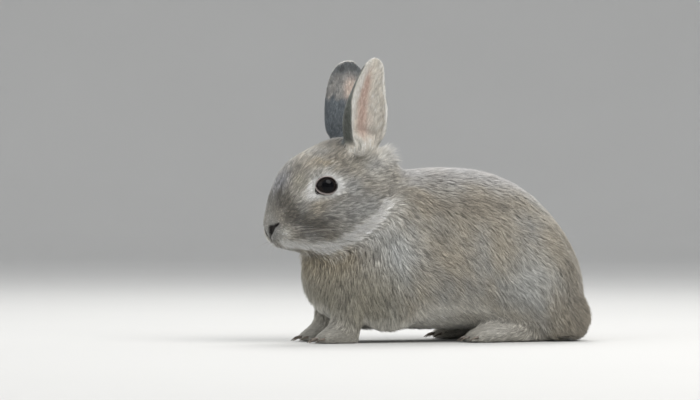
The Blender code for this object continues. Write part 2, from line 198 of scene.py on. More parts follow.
def distance_to_route(points, route, widths=None):
    """How far points lie outside a line through places, or a wedge with a half width at each."""
    nearest = np.full(len(points), 1e9)
    places, widths = np.array(route), widths or [0.0] * len(route)
    for start, end, first, last in zip(places[:-1], places[1:], widths[:-1], widths[1:]):
        along = capped((points - start) @ (end - start) / ((end - start) @ (end - start)))
        away = distance(points, start + along[:, None] * (end - start))
        nearest = np.minimum(nearest, away - (first + (last - first) * along))
    return nearest


def grooved(change, places, grooves):
    """A change of height with grooves pressed in, each a route, a depth and a half width."""
    for route, depth, half_width in grooves:
        change = change - depth * np.exp(-(distance_to_route(places, route) / half_width) ** 2)
    return change


def search_tree(points, triangles):
    """A tree that finds the nearest place on a surface."""
    return BVHTree.FromPolygons(points.tolist(), triangles.tolist())


def rows_of(items, field, width, kind):
    """A field of a mesh's items as rows."""
    values = np.empty(len(items) * width, kind)
    items.foreach_get(field, values)
    return values.reshape(-1, width)


class Surface:
    """A mesh as arrays: points in millimetres, triangles and edges."""

    def __init__(self, mesh):
        mesh.calc_loop_triangles()
        self.points = rows_of(mesh.vertices, "co", 3, float) * METRE
        self.triangles = rows_of(mesh.loop_triangles, "vertices", 3, int)
        self.edges = rows_of(mesh.edges, "vertices", 2, int)
        self.valence = np.maximum(np.bincount(self.edges.ravel(), minlength=len(self.points)), 1)

    def neighbour_mean(self, values):
        """The mean over each point's neighbours, for one column or several."""
        first, second = self.edges.T
        count = len(self.points)
        columns = values.reshape(count, -1)
        total = np.empty_like(columns)
        for column in range(columns.shape[1]):
            total[:, column] = (np.bincount(first, columns[second, column], count)
                                + np.bincount(second, columns[first, column], count))
        return (total / self.valence[:, None]).reshape(values.shape)

    def smoothed(self, values, rounds):
        """Values spread over the surface."""
        values = values.astype(float)
        for _ in range(rounds):
            values = values + (self.neighbour_mean(values) - values) * 0.5
        return values

    def face_normals(self):
        """Normals with the length of twice each triangle's area."""
        a, b, c = (self.points[self.triangles[:, corner]] for corner in range(3))
        return np.cross(b - a, c - a)

    def normals(self, rounds=0):
        """Normals at the points, as unit vectors or spread over their neighbours."""
        crosses = self.face_normals()
        total = np.zeros(self.points.shape)
        for corner in range(3):
            for axis in range(3):
                total[:, axis] += np.bincount(self.triangles[:, corner], crosses[:, axis], len(total))
        return self.smoothed(unit(total), rounds)


# -------- making objects
POINT_COLOUR = "coat_colour"


def new_mesh_object(name, points, faces, material, colours=None):
    """A smooth object from points, equal-sided faces and, if given, a colour at each point."""
    mesh = bpy.data.meshes.new(name)
    faces = np.asarray(faces, np.int32)
    mesh.vertices.add(len(points))
    mesh.vertices.foreach_set("co", (np.asarray(points) / METRE).astype(np.float32).ravel())
    mesh.loops.add(faces.size)
    mesh.loops.foreach_set("vertex_index", faces.ravel())
    mesh.polygons.add(len(faces))
    mesh.polygons.foreach_set("loop_start", np.arange(len(faces), dtype=np.int32) * faces.shape[1])
    mesh.polygons.foreach_set("use_smooth", np.full(len(faces), True))
    mesh.update(calc_edges=True)
    mesh.validate()
    mesh.materials.append(material)
    if colours is not None:
        attribute = mesh.color_attributes.new(POINT_COLOUR, "FLOAT_COLOR", "POINT")
        rgba = np.ones((len(points), 4), np.float32)
        rgba[:, :3] = colours
        attribute.data.foreach_set("color", rgba.ravel())
    made = bpy.data.objects.new(name, mesh)
    bpy.context.scene.collection.objects.link(made)
    return made


# -------- the skin
OVERLAP = 0.45  # each node swells by this, so that the cuts between them close
SKIN_VOXEL = 1.2
SKIN_SMOOTHING = 4
SOLE_HEIGHT = 0.05  # the lowest that the skin comes to the floor
INSET_STEPS = 8


def joined_nodes():
    """All flesh and eyes as one mesh of overlapping bodies, and each triangle's region."""
    points, triangles, regions, count = [], [], [], 0
    for node in FLESH + EYES:
        surface = Surface(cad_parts[node].data)
        points.append(surface.points + surface.normals() * (0.0 if node in EYES else OVERLAP))
        triangles.append(surface.triangles + count)
        regions += [REGIONS.index(REGION_OF[node])] * len(surface.triangles)
        count += len(surface.points)
    return np.concatenate(points), np.concatenate(triangles), np.array(regions)


def remeshed(source):
    """A copy of an object's shape as one closed surface of even quads."""
    modifier = source.modifiers.new("remesh", "REMESH")
    modifier.mode = "VOXEL"
    modifier.voxel_size = SKIN_VOXEL / METRE
    modifier.use_smooth_shade = True
    evaluated = source.evaluated_get(bpy.context.evaluated_depsgraph_get())
    return bpy.data.meshes.new_from_object(evaluated)


def refine(mesh):
    """Splits the skin's faces once round the eyes and the nose."""
    shape = bmesh.new()
    shape.from_mesh(mesh)
    places = [(Vector(centre / METRE), radius / METRE) for centre, radius in FINER_PLACES]
    chosen = [edge for edge in shape.edges
              if any((edge.verts[0].co - place).length < radius for place, radius in places)]
    bmesh.ops.subdivide_edges(shape, edges=chosen, cuts=1, use_grid_fill=True)
    bmesh.ops.triangulate(shape, faces=[face for face in shape.faces if len(face.verts) > 4])
    shape.to_mesh(mesh)
    shape.free()


def skin_surface():
    """The welded skin, still at the coat's outer surface, and each point's share of each region."""
    points, triangles, regions = joined_nodes()
    source = new_mesh_object("source", points, triangles, None)
    mesh = remeshed(source)
    bpy.data.objects.remove(source)
    refine(mesh)
    surface = Surface(mesh)
    surface.points = surface.smoothed(surface.points, SKIN_SMOOTHING)
    tree = search_tree(points, triangles)
    nearest = [tree.find_nearest(point)[2] for point in surface.points.tolist()]
    return surface, np.eye(len(REGIONS))[regions[nearest]]


def inset(surface, depths):
    """Moves the surface in by a depth at each point, in steps that keep thin places whole."""
    for _ in range(INSET_STEPS):
        surface.points -= unit(surface.normals(2)) * (depths / INSET_STEPS)[:, None]
    surface.points = surface.smoothed(surface.points, 1)


# -------- the eyes' places
EYE_YAW, EYE_PITCH = math.radians(77), math.radians(5)  # from straight ahead to where an eye looks
OPENING_LENGTH, OPENING_UP, OPENING_DOWN = 7.4, 6.3, 5.4  # half the lids' opening, its reach up and down
EYE_CORNER = dict(angle=math.radians(-35), reach=2.5, spread=0.40)
LID_THICKNESS = 0.8
EYE_HOLLOW = 1.6  # how far the skin lies inside the ball between the lids


def eye_axes(side):
    """Where an eye looks, its forward and its up, as unit vectors."""
    out = -SIDES[side]
    look = (math.cos(EYE_YAW) * HEAD_FORWARD + math.sin(EYE_YAW) * out * HEAD_LEFT) * math.cos(EYE_PITCH)
    look = look + math.sin(EYE_PITCH) * UP
    ahead = HEAD_FORWARD - look * (HEAD_FORWARD @ look)
    ahead /= np.linalg.norm(ahead)
    return look, ahead, np.cross(look, ahead) * -out


def opening_radius(angle):
    """How far the lids' edge is from the eye's axis, at an angle up from forward."""
    height = np.where(np.sin(angle) > 0, OPENING_UP, OPENING_DOWN)
    radius = 1 / np.hypot(np.cos(angle) / OPENING_LENGTH, np.sin(angle) / height)
    return radius + EYE_CORNER["reach"] * np.exp(-((angle - EYE_CORNER["angle"]) / EYE_CORNER["spread"]) ** 2)


def lid_distance(points, side):
    """How far points lie outside an eye's opening, and how far in front of its centre."""
    look, ahead, above = eye_axes(side)
    offset = points - EYE_CENTRE[side]
    across, rise = offset @ ahead, offset @ above
    return np.hypot(across, rise) - opening_radius(np.arctan2(rise, across)), offset @ look


def shape_eyes(surface):
    """Sinks the skin behind each eyeball in the opening and draws it over the ball as lids."""
    for side in SIDES:
        beyond, front = lid_distance(surface.points, side)
        offset = surface.points - EYE_CENTRE[side]
        away = np.linalg.norm(offset, axis=1)
        near = (away < EYE_RADIUS + 4) & (front > 0)
        lid = EYE_RADIUS + LID_THICKNESS * (1 - 0.5 * ramp(beyond, 0, 5))
        sunk = EYE_RADIUS - EYE_HOLLOW * ramp(-beyond, 0, 0.5)
        target = np.where(beyond < 0, sunk, np.maximum(away, lid))
        surface.points[near] = (EYE_CENTRE[side] + unit(offset) * target[:, None])[near]


# -------- nose, mouth and folds
NOSE_MIDDLE = -2.4  # the twitching nose's middle, left of the head's middle plane where it is positive
NOSTRIL = [(31.9, 12.6, 82.3), (33.8, 6.4, 78.8), (33.2, 3.4, 75.2)]  # head places
NOSTRIL_WIDTHS = [0.6, 2.7, 1.5]  # the half width at each
NOSTRIL_DEPTH = 2.4
PHILTRUM = [(33.0, 2.2, 74.6), (31.4, 0.3, 71.3), (28.4, 0.0, 67.9), (25.6, 0.0, 65.9)]
MOUTH = [(25.6, 0.0, 65.9), (22.0, 4.5, 65.3), (17.0, 8.0, 64.8), (11.0, 10.5, 64.5)]
LIP_GROOVES = [(PHILTRUM, 1.5, 0.8), (MOUTH, 1.4, 0.8)]
WHISKER_PAD = ((26.0, 12.5, 75.5), (8.5, 8.5, 8.5))  # centre and radii
PAD_SWELLING = 0.9
MUZZLE_REACH = 32  # from the nose's tip
FOLDS = [
    ([(34, 49, 44), (40, 50, 35), (48, 50, 25), (58, 50, 16), (70, 49, 8)], 2.6, 4.0),  # under the thigh
    ([(-62, 34, 78), (-50, 36, 66), (-36, 38, 52)], 1.2, 5.0),  # behind the cheek
]


def shape_muzzle(surface):
    """Cuts the nostrils, the cleft of the lip and the mouth, and swells the whisker pads."""
    places = mirrored(to_head(surface.points), NOSE_MIDDLE)
    near_nose = distance(places, NOSE_TIP * [1, 0, 1]) < MUZZLE_REACH
    nostril = fall(distance_to_route(places, NOSTRIL, NOSTRIL_WIDTHS), -1.0, 0.5)
    change = grooved(-NOSTRIL_DEPTH * nostril, places, LIP_GROOVES)
    change += PAD_SWELLING * blob(places, *WHISKER_PAD)
    surface.points += surface.normals() * (change * near_nose)[:, None]


def shape_folds(surface):
    """Presses the body's folds into both sides."""
    change = grooved(np.zeros(len(surface.points)), mirrored(surface.points), FOLDS)
    surface.points += surface.normals(3) * change[:, None]


# -------- the ears
EAR_LOOK = dict(left=math.radians(86), right=math.radians(108))  # from straight ahead to where an ear opens
EAR_FACING = {side: math.cos(turn) * HEAD_FORWARD - SIDES[side] * math.sin(turn) * HEAD_LEFT
              for side, turn in EAR_LOOK.items()}
EAR_AHEAD = {side: np.cross(facing, UP) * -SIDES[side] for side, facing in EAR_FACING.items()}
EAR_ROOT = ((-32, 17, 133), (20, 19, 18))  # head place and radii
EAR_ROOT_SMOOTHING = 60
EAR_ROOT_LIE = (0.35, 0.0, 1.0)
EAR_ROOT_DEPTH = 1.8  # how much deeper the coat is round the ears' roots
EAR_FILL, EAR_FILL_HEIGHT = 5.0, (0.18, 0.38)  # how far fur fills the lower end of the hollow
EAR_SINK, EAR_SINK_HEIGHT = 4.0, (0.08, 0.24)  # how far the ball of the ear's root sinks into the head
EAR_SLICES = np.linspace(0.15, 0.95, 16)  # heights at which the middle of the hollow is found
EAR_HOLLOW = 5.0  # how far the middle of the hollow lies from the leaf's own middle


def ear_height(points, side):
    """0 at an ear's root and 1 at its tip."""
    low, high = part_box(f"ear_{side}")
    return (points[:, 2] - low.z * METRE) / ((high.z - low.z) * METRE)


def hollow_offsets(points, side, own):
    """Each point's level offset from the middle of an ear's hollow; own marks the ear's points."""
    height = ear_height(points, side)
    middles = [points[own & (np.abs(height - slice_height) < 0.05)].mean(0) + EAR_FACING[side] * EAR_HOLLOW
               for slice_height in EAR_SLICES]
    line = np.stack([np.interp(height, EAR_SLICES, column) for column in np.array(middles).T], 1)
    return (points - line) * [1, 1, 0]


def by_side(left, vectors):
    """The left side's vector for points on the left, else the right side's."""
    return np.where(left[:, None], vectors["left"], vectors["right"])


# -------- the coat's colours, at the hairs' tips
BEIGE = (0.440, 0.400, 0.330)
SILVER = (0.415, 0.415, 0.400)
SHOULDER = (0.57, 0.585, 0.58)
HAUNCH = (0.52, 0.535, 0.53)
BARK = (0.305, 0.275, 0.225)
LILAC = (0.405, 0.405, 0.415)
SAND = (0.45, 0.385, 0.275)
OLIVE = (0.365, 0.345, 0.280)
CREAM = (0.76, 0.74, 0.68)
CRESCENT_WHITE = (0.95, 0.94, 0.90)
PALE = (0.58, 0.56, 0.51)
RING_WHITE = (0.86, 0.86, 0.84)
SLATE = (0.11, 0.115, 0.12)
UMBER = (0.155, 0.14, 0.115)
DUSK = (0.27, 0.255, 0.225)
# Painted shade in the nostrils, along the mouth and the lip's cleft, and between the lids.
PAINTED_RECESS_SHADE = (0.02, 0.015, 0.013)
PINK = (0.67, 0.50, 0.43)
EAR_CREAM = (0.88, 0.82, 0.72)
# Pale hair on the ears' rims, used also as painted highlight and painted rim light.
EAR_FRINGE_AND_HIGHLIGHT = (0.92, 0.89, 0.82)
EAR_GREY = (0.44, 0.425, 0.40)
# Slate on the ears' outsides and in their ticking; low on the ears it also stands for painted shadow.
EAR_SLATE_AND_SHADOW = (0.175, 0.20, 0.22)
EAR_DARK = (0.12, 0.135, 0.145)
EAR_MOSS = (0.155, 0.165, 0.145)
# Painted light shining through the far ear from behind.
EAR_PAINTED_BACKLIGHT = (0.78, 0.64, 0.56)
EAR_TIP_BLACK = (0.03, 0.03, 0.03)

# Soft marks: colour, strength, centre and radii. Those on the body run through to the other side.
BODY_MARKS = [
    (SHOULDER, 1.0, (-30, 0, 60), (30, 120, 44)),
    (HAUNCH, 1.1, (62, 0, 42), (36, 120, 34)),
    (BEIGE, 1.0, (28, 0, 88), (44, 120, 22)),
    (BARK, 1.0, (24, 0, 92), (56, 120, 16)),
    (BARK, 0.5, (2, 0, 60), (13, 120, 42)),
    (DUSK, 0.5, (-28, 0, 104), (22, 120, 15)),
]
# On the ears' outer sides, as head places: painted light shining through the far ear, and its black tip.
EAR_MARKS = [
    (EAR_PAINTED_BACKLIGHT, 1.8, (-41, -16, 175), (8, 12, 14)),
    (EAR_TIP_BLACK, 1.2, (-36, -22, 191), (4, 6, 3)),
]
# On the head, as head places on both sides.
FACE_MARKS = [
    (SILVER, 1.0, (-22, 30, 92), (32, 26, 26)),
    (UMBER, 0.6, (5, 22, 79), (28, 16, 15)),
    (PALE, 0.6, (0, 20, 119), (12, 10, 6)),
    (LILAC, 1.2, (25, 4, 112), (14, 13, 24)),
    (DUSK, 0.8, (14, 8, 122), (20, 18, 14)),
    (DUSK, 0.7, (31, 4, 97), (8, 9, 12)),
    (OLIVE, 0.9, (17, 15, 112), (8, 8, 14)),
    (BEIGE, 1.2, (4, 15, 125), (14, 10, 9)),
    (UMBER, 0.9, (-12, 8, 142), (17, 14, 10)),
    (OLIVE, 0.7, (-24, 22, 124), (12, 12, 10)),
    (PALE, 0.9, (-33, 23, 130), (9, 11, 12)),
    (PALE, 0.7, (-36, 29, 116), (14, 14, 11)),
    (CREAM, 1.0, (27, 14, 75), (12, 9, 8)),
    (UMBER, 1.0, (-25, 12, 139), (11, 12, 9)),
    (CREAM, 1.4, (20, 11, 67), (15, 12, 5)),
    (PALE, 1.0, (35, -1, 84), (7, 6, 6)),
]
# Bands on the head: colour, strength, width and route.
FACE_BANDS = [
    (UMBER, 0.85, 9.0, [(29, 9.5, 102), (26, 16, 94), (24, 18, 89), (14.5, 21.5, 84.5), (4, 23, 81)]),
    # Along the whisker pad's upper edge: dark ticks and painted shade between pad and cheek.
    (UMBER, 0.8, 4.5, [(26, 15, 93), (23, 18, 88), (13, 21.5, 83.5)]),
    (UMBER, 0.75, 3.6, [(0, 14, 134), (-8, 18, 130), (-14, 21, 126), (-17, 24, 119)]),
    (UMBER, 0.6, 2.6, [(-20, 18, 134), (-26, 21, 128), (-28, 24, 119)]),
    (SAND, 0.8, 3.0, [(4, 15, 129), (-2, 19, 125), (-8, 22, 121)]),
]
CRESCENT = [(26, 9.5, 67.5), (20, 12, 67), (12.6, 14, 66.5), (1, 14.5, 65), (-9, 19, 65.5), (-20, 26.3, 73),
            (-31, 31.7, 80), (-40.5, 34.1, 90), (-43.5, 33.7, 97)]
CRESCENT_WIDTH = ([64, 70, 84, 97], [5.0, 6.2, 7.2, 6.2])  # heights, and the half width at each
RING_WIDTH = 1.8  # of the pale ring round an eye
RING_CORNERS = [(-20, 42, 5.2), (172, 50, 5.4), (-95, 35, 0.6)]  # degrees, spread, added width
PINK_TURN = -0.10  # how far to the rear of the hollow's middle the pink lies low in the ear
HEEL_COVER = (60, 78)  # between these places along x the haunch's fur comes to cover the hind foot

# Centres and radii on the body, except where head places are named.
UNDER_CHIN = ((-74, 0, 58), (40, 60, 22))
GROIN = ((38, 40, 14), (24, 30, 22))
BEHIND_CHEEK = ((-36, 31, 76), (18, 18, 24))  # head place: where the neck is darker next to the white, its own darker fur and painted shadow under the jaw's ruff
SHOULDER_FALL = ((-42, 0, 52), (42, 90, 48))  # where the coat falls almost straight down
NAPE_TUFT = ((-30, -8, 132), (15, 20, 15))
NAPE_DEPTH = 3.0  # how much deeper the coat is there
NAPE_RAGGED = 1.4  # how unevenly its clumps stand out
NAPE_LIE = (0.8, 0.0, 0.4)
SHOULDER_LIE, CHEST_LIE = (0.3, 0.0, -1.0), (0.15, 0.0, -1.0)
FACE_FLOW_AHEAD = np.array([-6.0, 0.0, 4.0])  # from the nose's tip to where the face's hairs part


def painted(rows, *layers):
    """Colours or directions with others laid over them in turn, each by a share a point."""
    for layer, share in layers:
        rows = mix(rows, layer, share)
    return rows


def marked(colours, places, marks):
    """Colours with soft marks laid over them."""
    return painted(colours, *((colour, capped(strength * blob(places, centre, radii)))
                              for colour, strength, centre, radii in marks))


def uneven_edge(points, coarse, fine):
    """A field that breaks up the edges of marks."""
    return coarse * waves(points, 7, 21) + fine * waves(points, 3, 22)


class Coat:
    """The skin with every field that the coat is grown from."""

    def __init__(self):
        self.surface, shares = skin_surface()
        surface = self.surface
        self.region = surface.smoothed(self.with_heels(shares), 30)
        self.ear_share = surface.smoothed(shares[:, REGIONS.index("ear")], 3)
        self.head = to_head(surface.points)
        self.on = {side: self.head[:, 1] * SIDES[side] < 0 for side in SIDES}
        self.folded = mirrored(self.head)
        self.from_nose = distance(self.folded, NOSE_TIP * [1, 0, 1])
        about_nose = mirrored(self.head, NOSE_MIDDLE)
        self.beyond_nostril = distance_to_route(about_nose, NOSTRIL, NOSTRIL_WIDTHS)
        self.from_lips = np.minimum(*(distance_to_route(about_nose, route) for route in (MOUTH, PHILTRUM)))
        self.beyond_lids = self.nearest_lid()
        self.ear_height = np.where(self.on["left"], *(ear_height(surface.points, side) for side in SIDES))
        self.inner_ear, self.ear_turn = self.inside_ears()
        self.ear_root = blob(self.folded, *EAR_ROOT)
        self.crescent = self.jaw_crescent()
        self.nape = blob(surface.points, *NAPE_TUFT) * (1 - self.ear_share)
        self.chest = self.chest_share()
        self.depth = self.coat_depth()
        self.blend_ear_roots()
        shape_folds(surface)
        inset(surface, self.depth)
        surface.points[:, 2] = np.maximum(surface.points[:, 2], SOLE_HEIGHT)
        shape_eyes(surface)
        shape_muzzle(surface)
        self.normal = surface.normals()
        self.lie = self.lie_of_coat()
        self.colour = self.markings()

    def with_heels(self, shares):
        """The shares with the rear of each hind foot counted as thigh, as the haunch's fur hangs over it."""
        shares = shares.copy()
        foot, thigh = REGIONS.index("foot"), REGIONS.index("thigh")
        hidden = shares[:, foot] * ramp(self.surface.points[:, 0], *HEEL_COVER)
        shares[:, foot] -= hidden
        shares[:, thigh] += hidden
        return shares

    def of_region(self, column):
        """A column of the coat's table at each point, blended between regions."""
        return self.region @ COAT_TABLE[column]

    def share(self, *names):
        """Each point's share of one region, or of several together."""
        return sum(self.region[:, REGIONS.index(name)] for name in names)

    def nearest_lid(self):
        """How far each point lies from the nearer eye's opening."""
        nearest = np.full(len(self.head), 99.0)
        for side in SIDES:
            beyond, front = lid_distance(self.surface.points, side)
            nearest = np.where(front > 0, np.minimum(nearest, beyond), nearest)
        return nearest

    def inside_ears(self):
        """1 in the ears' hollows, and the turn round the hollow: 0 at its back, 1 at its front."""
        points = self.surface.points
        normals = self.surface.normals(1)
        inside, turns = np.zeros(len(points)), np.zeros(len(points))
        for side in SIDES:
            own = self.on[side] & (self.ear_share > 0.5)
            offset = hollow_offsets(points, side, own)
            hollow = ramp(-(normals * unit(offset)).sum(1), -0.15, 0.35)
            turn = np.arctan2(offset @ EAR_AHEAD[side], -(offset @ EAR_FACING[side])) / math.pi
            inside = np.where(own, hollow, inside)
            turns = np.where(own, turn, turns)
        return self.surface.smoothed(inside, 1), turns

    def blend_ear_roots(self):
        """Sinks the ears' roots, fills the hollows' lower ends and smooths both into the head."""
        near_root = capped(1.8 * self.ear_root)
        filling = EAR_FILL * self.inner_ear * fall(self.ear_height, *EAR_FILL_HEIGHT)
        normals = self.surface.normals(3)
        for side, facing in EAR_FACING.items():
            sinking = EAR_SINK * ramp(normals @ facing, 0.0, 0.5) * fall(self.ear_height, *EAR_SINK_HEIGHT)
            sinking *= near_root
            self.surface.points += facing * ((filling - sinking) * self.on[side])[:, None]
        smooth = self.surface.smoothed(self.surface.points, EAR_ROOT_SMOOTHING)
        self.surface.points = mix(self.surface.points, smooth, near_root)

    def jaw_crescent(self):
        """1 along the white edge of the cheek, from the chin to behind the jaw."""
        width = np.interp(self.folded[:, 2], *CRESCENT_WIDTH) + uneven_edge(self.surface.points, 0.8, 0.5)
        return fall(distance_to_route(self.folded, CRESCENT), width * 0.55, width * 1.05)

    def chest_share(self):
        """1 on the chest, 0 elsewhere."""
        ahead = ramp(-self.surface.points[:, 0], 30, 62)
        return ahead * fall(self.surface.points[:, 2], 58, 78) * self.share("trunk", "neck")

    def coat_depth(self):
        """How far the skin lies under the coat's surface."""
        depth = blend(self.of_region("depth"), EAR_COAT["depth"], self.ear_share)
        face = self.share("face") * (1 - self.ear_share)
        depth *= 1 - face * (0.75 * fall(self.from_nose, 3, 26))
        depth += NAPE_DEPTH * self.nape + EAR_ROOT_DEPTH * self.ear_root
        return depth * (1 - 0.6 * fall(self.beyond_lids, 1, 8))

    def lie_of_coat(self):
        """Which way the hairs lie, as unit vectors along the skin."""
        normal, points = self.normal, self.surface.points
        shoulder = blob(points, *SHOULDER_FALL) * self.share("trunk", "neck", "foreleg")
        front = ramp(-normal[:, 0], 0.25, 0.75) * self.share("trunk", "neck")
        back_of_head = self.head - NOSE_TIP + FACE_FLOW_AHEAD
        flow = (back_of_head[:, :1] * HEAD_FORWARD + back_of_head[:, 1:2] * HEAD_LEFT * 0.8
                + back_of_head[:, 2:] * UP * 0.7)
        lie = painted(self.region @ np.array([LIE[name] for name in REGIONS]),
                      (SHOULDER_LIE, capped(1.6 * shoulder)), (CHEST_LIE, capped(front + 0.8 * self.chest)),
                      (unit(flow), ramp(self.share("face"), 0.15, 0.6)), (NAPE_LIE, capped(1.5 * self.nape)))
        for side in SIDES:
            outward = tangent(points - EYE_CENTRE[side], eye_axes(side)[0])
            close = distance(points, EYE_CENTRE[side]) < EYE_RADIUS + 9
            lie = mix(lie, outward, 0.65 * fall(self.beyond_lids, 1, 7) * close)
        lie = painted(lie, (self.lie_on_ears(), ramp(self.ear_share, 0.3, 0.7)),
                      (EAR_ROOT_LIE, capped(1.5 * self.ear_root)))
        lie = tangent(self.surface.smoothed(tangent(lie, normal), 8), normal)
        swirl = np.radians(9) * waves(points, 38, 5) + np.radians(5) * waves(points, 10, 6)
        return swung(swirl * (1 - 0.6 * self.share("face")), lie, np.cross(normal, lie))

    def lie_on_ears(self):
        """Hairs point up the ears, and in the hollow also towards its rims."""
        fan = np.clip(self.ear_turn * 3, -1, 1) * 0.55 * self.inner_ear
        return UP + by_side(self.on["left"], EAR_AHEAD) * fan[:, None]

    def markings(self):
        """The coat's colour at each point."""
        # Behind the cheek: the neck's own darker fur and painted shadow under the jaw's white ruff.
        behind = blob(self.folded, *BEHIND_CHEEK) * ramp(self.share("neck"), 0.2, 0.6)
        return capped(painted(self.body_markings(),
                              (self.face_markings(), ramp(self.share("face"), 0.35, 0.65)),
                              (UMBER, capped(1.4 * behind) * 0.6),
                              (CRESCENT_WHITE, self.crescent),
                              (CREAM, capped(1.6 * self.nape) * 0.6),
                              (self.ear_markings(), ramp(self.ear_share, 0.25, 0.75))))

    def body_markings(self):
        """The colours of the trunk, the neck and the limbs."""
        points, up = self.surface.points, self.normal[:, 2]
        along, height = points[:, 0], points[:, 2]
        patchy = capped(0.30 + 0.22 * waves(points, 30, 11) + 0.12 * waves(points, 11, 12))
        belly = np.maximum(1.5 * blob(mirrored(points), *GROIN), ramp(-up, 0.35, 0.8) * fall(height, 25, 45))
        return painted(marked(mix(BEIGE, SILVER, patchy), points, BODY_MARKS),
                       # Upward-facing fur along the top is cooler: the back's own bluish grey and painted
                       # sheen from above.
                       (LILAC, 0.7 * ramp(up, 0.5, 0.95) * ramp(height, 80, 110)),
                       (BARK, ramp(along, 74, 104)),
                       (SAND, capped(1.4 * blob(points, *UNDER_CHIN)) * 0.9),
                       # The lower chest darker: its own browner fur and painted shade under the body.
                       (OLIVE, ramp(-along, 5, 45) * fall(height, 30, 62) * 0.8),
                       (CREAM, capped(belly) * 0.75 * (1 - self.share("thigh"))),
                       (PALE, capped(self.share("paw", "foot")) * 0.7),
                       (CREAM, self.share("tail") * ramp(-up + 0.5 * self.normal[:, 0], -0.2, 0.5)))

    def face_markings(self):
        """The head's colours, the same on both sides but for the nose, with painted shade in its hollows."""
        points = self.surface.points
        uneven = uneven_edge(points, 1.2, 0.8)
        place = self.folded + uneven[:, None] * [0.6, 0.3, 0.6]
        face = marked(mix(BEIGE, SILVER, capped(0.45 + 0.25 * waves(points, 20, 23))), place, FACE_MARKS)
        bands = [(colour, strength * fall(distance_to_route(place, route) + 0.8 * uneven, width * 0.3, width))
                 for colour, strength, width, route in FACE_BANDS]
        # Painted shade in the nostrils, along the mouth and the lip's cleft, and in the gaps of the lids.
        dark = np.maximum(fall(self.beyond_nostril, 0.0, 0.7), 0.85 * fall(self.from_lips, 0.5, 1.2))
        dark = np.maximum(dark, fall(self.beyond_lids, 0.2, 0.6))
        return painted(face, *bands, (RING_WHITE, self.eye_ring(uneven) * 0.95), (PAINTED_RECESS_SHADE, dark))

    def eye_ring(self, uneven):
        """1 in the pale ring round the eyes, widest towards the nose and behind the eye."""
        offset = self.folded - mirrored(to_head(EYE_CENTRE["left"][None]))[0]
        angle = np.degrees(np.arctan2(offset[:, 2], offset[:, 0]))
        width = np.full(len(angle), RING_WIDTH)
        for toward, spread, more in RING_CORNERS:
            turn = (angle - toward + 180) % 360 - 180
            width += more * np.exp(-(turn / spread) ** 2)
        return fall(self.beyond_lids + 0.35 * uneven, width * 0.45, width * 1.45)

    def ear_markings(self):
        """Slate and ticked grey outside the ears, pink between cream hairs inside, a bright rim, and painted
        light and shade.
        """
        points, height, turn, left = self.surface.points, self.ear_height, self.ear_turn, self.on["left"]
        uneven = 0.010 * waves(points, 6, 33)
        ticked = mix(EAR_GREY, EAR_SLATE_AND_SHADOW, 0.45 * ramp(waves(points, 4, 31), 0.0, 1.2))
        front = ramp(turn, 0.25, 0.4) * left
        # Below a sharp edge the outsides stay slate: the ears' darker base and painted shadow of the near ear
        # on the far one.
        outside = painted(EAR_SLATE_AND_SHADOW, (ticked, ramp(height + uneven, 0.665, 0.69)), (EAR_MOSS, front),
                          (EAR_DARK, 0.9 * ramp(height + uneven, 0.84, 0.93) * (~left)))
        opening = (self.normal * by_side(left, EAR_FACING)).sum(1)
        open_side = ramp(opening, 0.0, 0.4) * fall(height, 0.34, 0.42)
        open_side *= 1 - front * ramp(height, 0.25, 0.31)
        outside = painted(marked(outside, self.head, EAR_MARKS),
                          (BEIGE, fall(height + 2 * uneven, 0.14, 0.24)),
                          (EAR_CREAM, open_side * ramp(height, 0.12, 0.24)))
        middle_turn = PINK_TURN * fall(height, 0.4, 0.9)
        band = fall(np.abs(turn - middle_turn) + 0.02 * waves(points, 5, 35), 0.05, 0.28)
        # Towards the hollow's front: the pale fringe hairs, brightened as painted highlight where the hollow
        # lies in shade.
        inside = painted(EAR_CREAM, (EAR_FRINGE_AND_HIGHLIGHT, ramp(turn, 0.08, 0.2)),
                         (PINK, band * ramp(height, 0.25, 0.42) * fall(height, 0.80, 0.95)),
                         (EAR_GREY, 0.4 * ramp(-turn, 0.18, 0.26)), (PALE, fall(height, 0.18, 0.30)),
                         (BEIGE, fall(height + 2 * uneven, 0.08, 0.18)))
        # The bright rim round the hollow: pale fringe hairs with painted rim light.
        edge = self.surface.smoothed(self.inner_ear * (self.ear_share > 0.5), 5)
        low_edge = np.where(front > 0.5, 0.15, 0.02)
        rim = ramp(edge, low_edge, low_edge + 0.12) * fall(edge, 0.6, 0.85) * (1 - 0.6 * front)
        return painted(outside, (inside, ramp(self.inner_ear, 0.35, 0.65)),
                       (EAR_FRINGE_AND_HIGHLIGHT, rim * ramp(height, 0.3, 0.45)))


# -------- the unwrap of the skin
PATCH = 0.003  # the size of a tuft's patch on the OFBake map
CHART_GAP = 2.5  # between charts, in millimetres of skin
CHART_FILL = 1.35  # how much larger the square is than its charts


